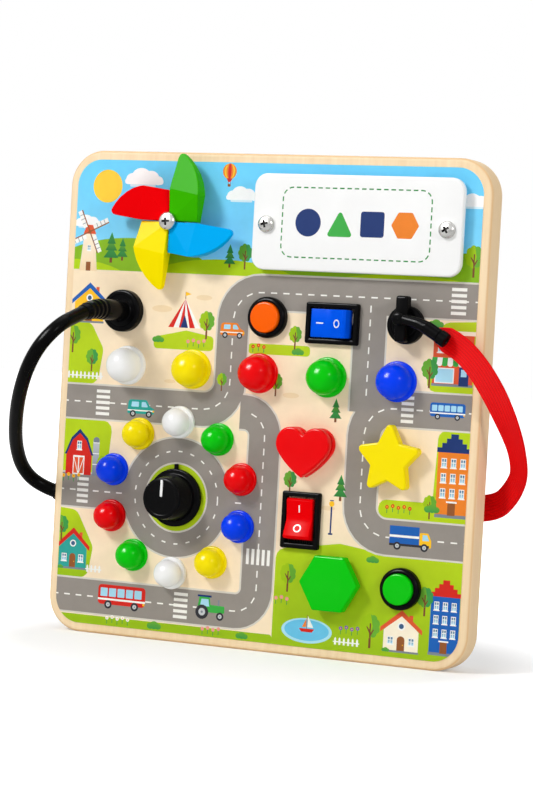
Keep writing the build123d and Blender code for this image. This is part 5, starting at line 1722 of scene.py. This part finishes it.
class BUSYBOARD_OT_sockets(bpy.types.Operator):
    """Makes the two sockets and the straight and bent plugs"""

    bl_idname = "busy_board.sockets"
    bl_label = "Sockets and plugs"

    def execute(self, context):
        for node in ("left_socket", "right_socket"):
            reach, top = half_width(node), front(node)
            profile = [(reach, SHEET), (reach, top - 0.9)] + shoulder(reach, (0, top - 0.9), (0.9, top), 6)
            profile += [(reach - 1.7, top), (reach - 1.95, top - 0.25), (reach - 2.4, top - 0.3)]
            profile += [(4.6, top - 0.3), (4.3, top), (AXIS, top)]
            seat(Shell().turned(profile, place(*middle(node))).finish(node + "_disc"), node)
        self.straight_plug()
        self.bent_plug()
        return {"FINISHED"}

    def straight_plug(self):
        """The barrel with its ribbed strain relief."""
        low, tip = front("left_socket"), front("left_plug")
        neck = low + BARREL_LENGTH
        profile = [(BARREL_RADIUS - 0.3, low), (BARREL_RADIUS, low + 0.3), (BARREL_RADIUS, neck - 0.5)]
        profile += shoulder(BARREL_RADIUS, (0, neck - 0.5), (0.5, neck), 4)
        level = neck
        for i in range(RELIEF_RIBS):
            radius = RIB_RADIUS - 0.2 * i
            profile += [(3.05, level), (3.05, level + 0.7), (radius - 0.3, level + 0.8)]
            profile += [(radius, level + 1.1), (radius, level + 2.4), (radius - 0.3, level + 2.65)]
            level += RIB_PITCH
        profile += [(2.98, level), (2.92, tip - 0.3), (2.75, tip)]
        rings = []
        for radius, level in profile:
            along = max(0.0, (level - neck) / (tip - neck))
            left, down = (sag * along ** 2 for sag in RELIEF_SAG)
            lean = 2 * RELIEF_SAG[1] * along / (tip - neck)
            rings.append([(px - left, py - down, level + lean * py) for px, py in circle(radius, 72)])
        seat(Shell().rings(rings, place(*middle("left_plug"))).finish("left_plug_barrel"), "left_plug")

    def bent_plug(self):
        """The key bar, boss and arm of the right plug."""
        x, y = middle("right_socket")
        low = front("right_socket")
        deck, crown = low + PLUG_KEY_DEPTH, low + BOSS_HEIGHT

        def key(distance):
            wide, high = PLUG_KEY
            return rounded_box(wide - 2 * distance, high - 2 * distance, max(0.2, 1.0 - distance))

        shell = Shell()
        bar = place(x, y + PLUG_KEY_SHIFT)
        shell.moulded(key, [(0, low), (0, low + 3.2)] + quarter((0, low + 3.2), (0.9, deck), 4), bar)
        boss = [(BOSS_RADIUS, deck - 0.5), (BOSS_RADIUS, crown - 1.2)]
        boss += shoulder(BOSS_RADIUS, (0, crown - 1.2), (1.4, crown), 6) + [(AXIS, crown + 0.05)]
        shell.turned(boss, bar, 64)
        shell.rings(self.arm(), place(x, y))
        seat(shell.finish("right_plug_bar"), "right_plug")

    def arm(self):
        """The rings of the arm with its ferrule and end collar, in the plane above the key bar."""
        start, bend, end = (Vector(p) for p in ARM_BENDS)
        control = [start, start.lerp(bend, 0.6), bend, bend.lerp(end, 0.35), end]
        along = [control[0]]
        for a, b, c in zip(control, control[1:], control[2:]):
            along += [a.lerp(b, 0.5).lerp(b.lerp(c, 0.5), t / 6) for t in range(0, 7)]
        along = [p for i, p in enumerate(along) if i == 0 or (p - along[i - 1]).length > 0.2]
        direction = (end - bend).normalized()
        stop = end - direction * FERRULE_LENGTH
        along = [p for p in along if p.x < stop.x - 0.3] + [stop]
        path = [(p, 2.05 + 0.35 * i / len(along)) for i, p in enumerate(along)]
        path += [(stop + direction * step, radius) for step, radius in FERRULE]
        rings = []
        level = SHEET + ARM_HEIGHT
        for i, (spot, radius) in enumerate(path):
            heading = direction
            if i < len(along) - 1:
                heading = (along[i + 1] - along[max(0, i - 1)]).normalized()
            side = Vector((-heading.y, heading.x))
            ring = [(spot.x + side.x * a, spot.y + side.y * a, level + b) for a, b in circle(radius, 40)]
            rings.append(ring)
        return rings


# ---------------- cable and strap
CABLE_RADIUS = 2.7
CABLE_POINTS = [           # across, up and out, from the board's left edge
    (-1.6, 54.2, -4.6), (-8.3, 56.4, -1.8), (-11.8, 62.8, 5.5), (-9.0, 72.1, 16.3), (-2.0, 82.5, 29.4),
    (6.6, 93.5, 42.2), (15.4, 104.4, 51.8), (22.0, 113.2, 54.3), (26.9, 120.6, 49.4), (27.0, 123.6, 39.4),
    (27.3, 125.5, 33.0),
]
STRAP_HALF = (5.0, 0.75)   # half of the strap's width and thickness
STRAP_POINTS = [           # from the board's right edge
    (-8.7, 60.3, -18.0), (1.7, 60.5, -16.8), (9.5, 67.9, -12.9), (13.8, 74.9, -7.3), (13.9, 84.4, -1.6),
    (10.8, 95.1, 3.2), (6.1, 105.1, 6.0), (-1.0, 114.8, 6.5), (-9.7, 121.7, 5.6), (-18.4, 125.0, 5.75),
]
STRAP_LIES = [             # share of the strap's length, and the way to its outer edge there
    (0.0, (0.0, 0.0, -1.0)), (0.08, (0.3, -0.2, -0.93)), (0.17, (0.55, -0.33, -0.77)),
    (0.25, (0.63, -0.42, -0.65)), (0.33, (0.79, -0.45, -0.41)), (0.42, (0.86, -0.47, -0.18)),
    (0.5, (0.91, -0.41, 0.08)), (0.58, (0.92, -0.29, 0.28)), (0.67, (0.88, -0.21, 0.43)),
    (0.75, (0.79, -0.22, 0.57)), (0.83, (0.64, -0.24, 0.73)), (0.92, (0.46, -0.24, 0.85)),
    (1.0, (0.4, -0.2, 0.9)),
]
STRAP_GATHER = (0.42, 6.0)  # share of its width at the plug, and how far from the plug it is gathered


def route_line(name, edge, points):
    """A route's smooth line: a NURBS spline on control points from an edge, read back as points."""
    curve = bpy.data.curves.new(name, "CURVE")
    curve.dimensions = "3D"
    curve.resolution_u = 14
    spline = curve.splines.new("NURBS")
    spline.points.add(len(points) - 1)
    for knot, (x, y, out) in zip(spline.points, points):
        knot.co = ((edge + x) * MM, FACE - out * MM, y * MM, 1.0)
    spline.order_u = 3
    spline.use_endpoint_u = True
    holder = bpy.data.objects.new(name, curve)
    line = bpy.data.meshes.new_from_object(holder)
    result = [v.co.copy() for v in line.vertices]
    bpy.data.objects.remove(holder)
    bpy.data.curves.remove(curve)
    bpy.data.meshes.remove(line)
    return result


def headings(line):
    """The direction of a line at each of its points."""
    last = len(line) - 1
    return [(line[min(i + 1, last)] - line[max(i - 1, 0)]).normalized() for i in range(last + 1)]


def swept(name, line, section, across, narrow=None):
    """A closed tube along a line: section is a list of (across, outwards), across gives the width's
    direction at each point, and narrow the share of the width that is left at each one."""
    bm = bmesh.new()
    uv = bm.loops.layers.uv.new("webbing")
    rings, runs = [], [0.0]
    for i, (point, heading) in enumerate(zip(line, headings(line))):
        wide = (across[i] - heading * across[i].dot(heading)).normalized()
        out = heading.cross(wide).normalized()
        wide *= narrow[i] if narrow else 1.0
        rings.append([bm.verts.new(point + wide * (a * MM) + out * (b * MM)) for a, b in section])
        if i:
            runs.append(runs[-1] + (point - line[i - 1]).length)
    count = len(section)
    girth = [0.0]
    for i in range(count):
        girth.append(girth[-1] + math.dist(section[i], section[(i + 1) % count]) * MM)
    for low, high, near, far in zip(rings, rings[1:], runs, runs[1:]):
        for i in range(count):
            j = (i + 1) % count
            face = bm.faces.new((low[i], low[j], high[j], high[i]))
            corners = [(girth[i], near), (girth[i + 1], near), (girth[i + 1], far), (girth[i], far)]
            for loop, (u, v) in zip(face.loops, corners):
                loop[uv].uv = (u * 100, v * 100)
    bm.faces.new(list(reversed(rings[0])))
    bm.faces.new(rings[-1])
    bmesh.ops.recalc_face_normals(bm, faces=bm.faces)
    return solid(name, bm, 40.0), runs[-1]


def way_between(table, along):
    """The direction at a share of a length, between the two next ones of a table."""
    for (low, first), (high, second) in zip(table, table[1:]):
        if along <= high:
            return Vector(first).lerp(Vector(second), (along - low) / (high - low)).normalized()
    return Vector(table[-1][1])


def carried(line, first):
    """A direction carried along a line without twist."""
    result = [first]
    for heading in headings(line)[1:]:
        side = result[-1] - heading * result[-1].dot(heading)
        result.append(side.normalized())
    return result


class BUSYBOARD_OT_cable(bpy.types.Operator):
    """Makes the cable from the grommet to the left plug"""

    bl_idname = "busy_board.cable"
    bl_label = "Cable"

    def execute(self, context):
        line = route_line("cable_route", LEFT_EDGE, CABLE_POINTS)
        first = headings(line)[0].orthogonal().normalized()
        cable, run = swept("left_cable_sleeve", line, circle(CABLE_RADIUS, 36), carried(line, first))
        slot = NODE_SLOTS["left_cable"]
        cable.data.materials.append(finish_named(slot))
        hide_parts("left_cable")
        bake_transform(cable)
        return {"FINISHED"}


GROMMET_NECK = (2.6, 9.0)  # radius of the part in the board, and its depth


class BUSYBOARD_OT_grommet(bpy.types.Operator):
    """Makes the grommet in the board's left edge"""

    bl_idname = "busy_board.grommet"
    bl_label = "Grommet"

    def execute(self, context):
        low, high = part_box("left_cable_grommet")
        radius = (high.z - low.z) / 2 / MM
        centre = Vector((BOARD_LOW.x, (low.y + high.y) / 2, (low.z + high.z) / 2))
        outwards = Matrix.Translation(centre) @ Matrix.Rotation(math.radians(-90), 4, "Y")
        reach = (BOARD_LOW.x - low.x) / MM
        neck, depth = GROMMET_NECK
        profile = [(neck, -depth), (neck, 0.0), (radius, 0.0), (radius, reach - 0.7)]
        profile += shoulder(radius, (0, reach - 0.7), (0.6, reach)) + [(AXIS, reach)]
        seat(Shell().turned(profile, outwards, 56).finish("left_cable_grommet_ring"), "left_cable_grommet")
        return {"FINISHED"}


class BUSYBOARD_OT_strap(bpy.types.Operator):
    """Makes the ribbed strap from the housing to the right plug"""

    bl_idname = "busy_board.strap"
    bl_label = "Strap"

    def execute(self, context):
        trim = settings("trim")
        line = route_line("strap_route", RIGHT_EDGE, STRAP_POINTS)
        half, thick = STRAP_HALF
        steps = trim.webbing_ribs * 4
        wave = []
        for i in range(steps + 1):
            groove = trim.webbing_relief / MM * (0.5 - 0.5 * math.cos(math.tau * i / 4))
            wave.append((-half + 0.3 + (2 * half - 0.6) * i / steps, thick - groove))
        section = wave[::-1] + [(-half, thick * 0.4), (-half, -thick * 0.4)]
        section += [(a, -b) for a, b in wave] + [(half, -thick * 0.4), (half, thick * 0.4)]
        lies = [way_between(STRAP_LIES, i / (len(line) - 1)) for i in range(len(line))]
        least, reach = STRAP_GATHER
        away = [(point - line[-1]).length / (reach * MM) for point in line]
        gathered = [min(1.0, least + (1 - least) * share_of_reach) for share_of_reach in away]
        strap, run = swept("right_strap_webbing", line, section, lies, gathered)
        slot = NODE_SLOTS["right_strap"]
        strap.data.materials.append(finish_named(slot))
        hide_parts("right_strap")
        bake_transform(strap)
        return {"FINISHED"}


# ---------------- stage
FLOOR_GLOW = (0.2, 0.97)   # the floor's own light near the board and away from it
FLOOR_REACH = (0.09, 0.17)  # how far from the middle that change starts and ends, in metres
FLOOR_HALF = 6.0           # metres, like the two below
KEY_SPOT = (-0.42, -0.75, 0.72)
SOFTBOXES = {              # size and place
    "key": (0.2, KEY_SPOT), "side": (0.16, (0.84, -0.42, 0.44)), "glint": (0.46, KEY_SPOT),
    "top": (0.6, (0.0, 0.1, 1.0)),
}


def softbox(name, size, spot, target, watts):
    """A square area light that looks at a point."""
    data = bpy.data.lights.new(name, "AREA")
    data.size = size
    data.energy = watts
    lamp = bpy.data.objects.new(name, data)
    lamp.location = spot
    lamp.rotation_euler = (Vector(target) - Vector(spot)).to_track_quat("-Z", "Y").to_euler()
    bpy.context.scene.collection.objects.link(lamp)
    return lamp


class BUSYBOARD_OT_stage(bpy.types.Operator):
    """Sets up the white floor, the softboxes and the camera"""

    bl_idname = "busy_board.stage"
    bl_label = "Stage"

    def execute(self, context):
        stage = settings("stage")
        scene = context.scene
        self.camera(scene, stage)
        self.floor()
        aim = (0.0, FACE, BOARD_HIGH.z / 2)
        for name, (size, spot) in SOFTBOXES.items():
            lamp = softbox(name + "_softbox", size, spot, aim, getattr(stage, name + "_power"))
            lamp.visible_diffuse = name != "glint"
        self.surroundings(scene, stage)
        scene.view_settings.view_transform = "Standard"
        return {"FINISHED"}

    def camera(self, scene, stage):
        """The camera, turned left, tilted and rolled as its settings say."""
        data = bpy.data.cameras.new("camera")
        data.lens = stage.focal_length
        data.sensor_width = 36.0
        data.clip_end = 20.0
        camera = bpy.data.objects.new("camera", data)
        spot = Matrix.Translation((stage.camera_side, FACE - stage.camera_distance, stage.camera_height))
        yaw = Matrix.Rotation(stage.camera_yaw, 4, "Z")
        tilt = Matrix.Rotation(math.pi / 2 - stage.camera_pitch, 4, "X")
        camera.matrix_world = spot @ yaw @ tilt @ Matrix.Rotation(stage.camera_roll, 4, "Z")
        scene.collection.objects.link(camera)
        scene.camera = camera

    def floor(self):
        """A white floor that keeps the object's soft shadow."""
        bm = bmesh.new()
        bmesh.ops.create_grid(bm, x_segments=1, y_segments=1, size=FLOOR_HALF)
        mesh = bpy.data.meshes.new("floor")
        bm.to_mesh(mesh)
        bm.free()
        floor = mesh_object("floor", mesh)
        finish = Finish("floor", Roughness=0.9)
        tone = finish.noise(3.0, 1.0)
        finish.drive("Base Color", finish.blend(tone, (0.8, 0.8, 0.8, 1.0), (0.82, 0.82, 0.82, 1.0)))
        seen = finish.add("ShaderNodeLightPath").outputs["Is Camera Ray"]
        reach = finish.add("ShaderNodeVectorMath", {0: finish.space}, operation="LENGTH").outputs["Value"]
        glow = finish.span(reach, *FLOOR_GLOW, *FLOOR_REACH)
        finish.shader.inputs["Emission Color"].default_value = (1.0, 1.0, 1.0, 1.0)
        finish.drive("Emission Strength", finish.calculate("MULTIPLY", seen, glow))
        mesh.materials.append(finish.material)

    def surroundings(self, scene, stage):
        """White to the camera and in reflections, and softer as a light."""
        world = bpy.data.worlds.new("studio")
        world.use_nodes = True
        scene.world = world
        tree = world.node_tree
        background = tree.nodes["Background"]
        background.inputs["Color"].default_value = (1.0, 1.0, 1.0, 1.0)
        path = tree.nodes.new("ShaderNodeLightPath")
        seen = path.outputs["Is Camera Ray"]
        for kind in ("Is Glossy Ray", "Is Transmission Ray"):
            both = tree.nodes.new("ShaderNodeMath")
            both.operation = "MAXIMUM"
            tree.links.new(seen, both.inputs[0])
            tree.links.new(path.outputs[kind], both.inputs[1])
            seen = both.outputs[0]
        strength = tree.nodes.new("ShaderNodeMapRange")
        strength.inputs["To Min"].default_value = stage.sky_light
        strength.inputs["To Max"].default_value = 1.0
        tree.links.new(seen, strength.inputs["Value"])
        tree.links.new(strength.outputs["Result"], background.inputs["Strength"])


# ---------------- the add-on
GROUPS = {
    "colours": BusyBoardColours, "trim": BusyBoardTrim, "finish": BusyBoardFinish, "stage": BusyBoardStage,
}
STEPS = [
    BUSYBOARD_OT_wood, BUSYBOARD_OT_picture, BUSYBOARD_OT_lamps, BUSYBOARD_OT_knob,
    BUSYBOARD_OT_push_buttons, BUSYBOARD_OT_rockers, BUSYBOARD_OT_shape_buttons, BUSYBOARD_OT_screws,
    BUSYBOARD_OT_pinwheel, BUSYBOARD_OT_cover_plate, BUSYBOARD_OT_sockets, BUSYBOARD_OT_grommet,
    BUSYBOARD_OT_cable, BUSYBOARD_OT_strap, BUSYBOARD_OT_stage,
]


class BUSYBOARD_PT_panel(bpy.types.Panel):
    """Lists the steps that dress the busy board"""

    bl_idname = "BUSYBOARD_PT_panel"
    bl_label = "Busy Board"
    bl_space_type = "VIEW_3D"
    bl_region_type = "UI"
    bl_category = "Busy Board"

    def draw(self, context):
        for step in STEPS:
            self.layout.operator(step.bl_idname)
        for name in GROUPS:
            box = self.layout.box()
            group = settings(name)
            for key in group.bl_rna.properties.keys():
                if key not in ("rna_type", "name"):
                    box.prop(group, key)


def register():
    """Registers the classes and puts the property groups on the scene."""
    for group in GROUPS.values():
        bpy.utils.register_class(group)
    for name, group in GROUPS.items():
        setattr(bpy.types.Scene, "busy_board_" + name, PointerProperty(type=group))
    for step in STEPS:
        bpy.utils.register_class(step)
    bpy.utils.register_class(BUSYBOARD_PT_panel)


def unregister():
    """Takes the classes and the property groups away again."""
    bpy.utils.unregister_class(BUSYBOARD_PT_panel)
    for step in reversed(STEPS):
        bpy.utils.unregister_class(step)
    for name, group in GROUPS.items():
        delattr(bpy.types.Scene, "busy_board_" + name)
        bpy.utils.unregister_class(group)


def main():
    register()
    for step in STEPS:
        group, name = step.bl_idname.split(".")
        getattr(getattr(bpy.ops, group), name)()


if __name__ == "__main__":
    main()
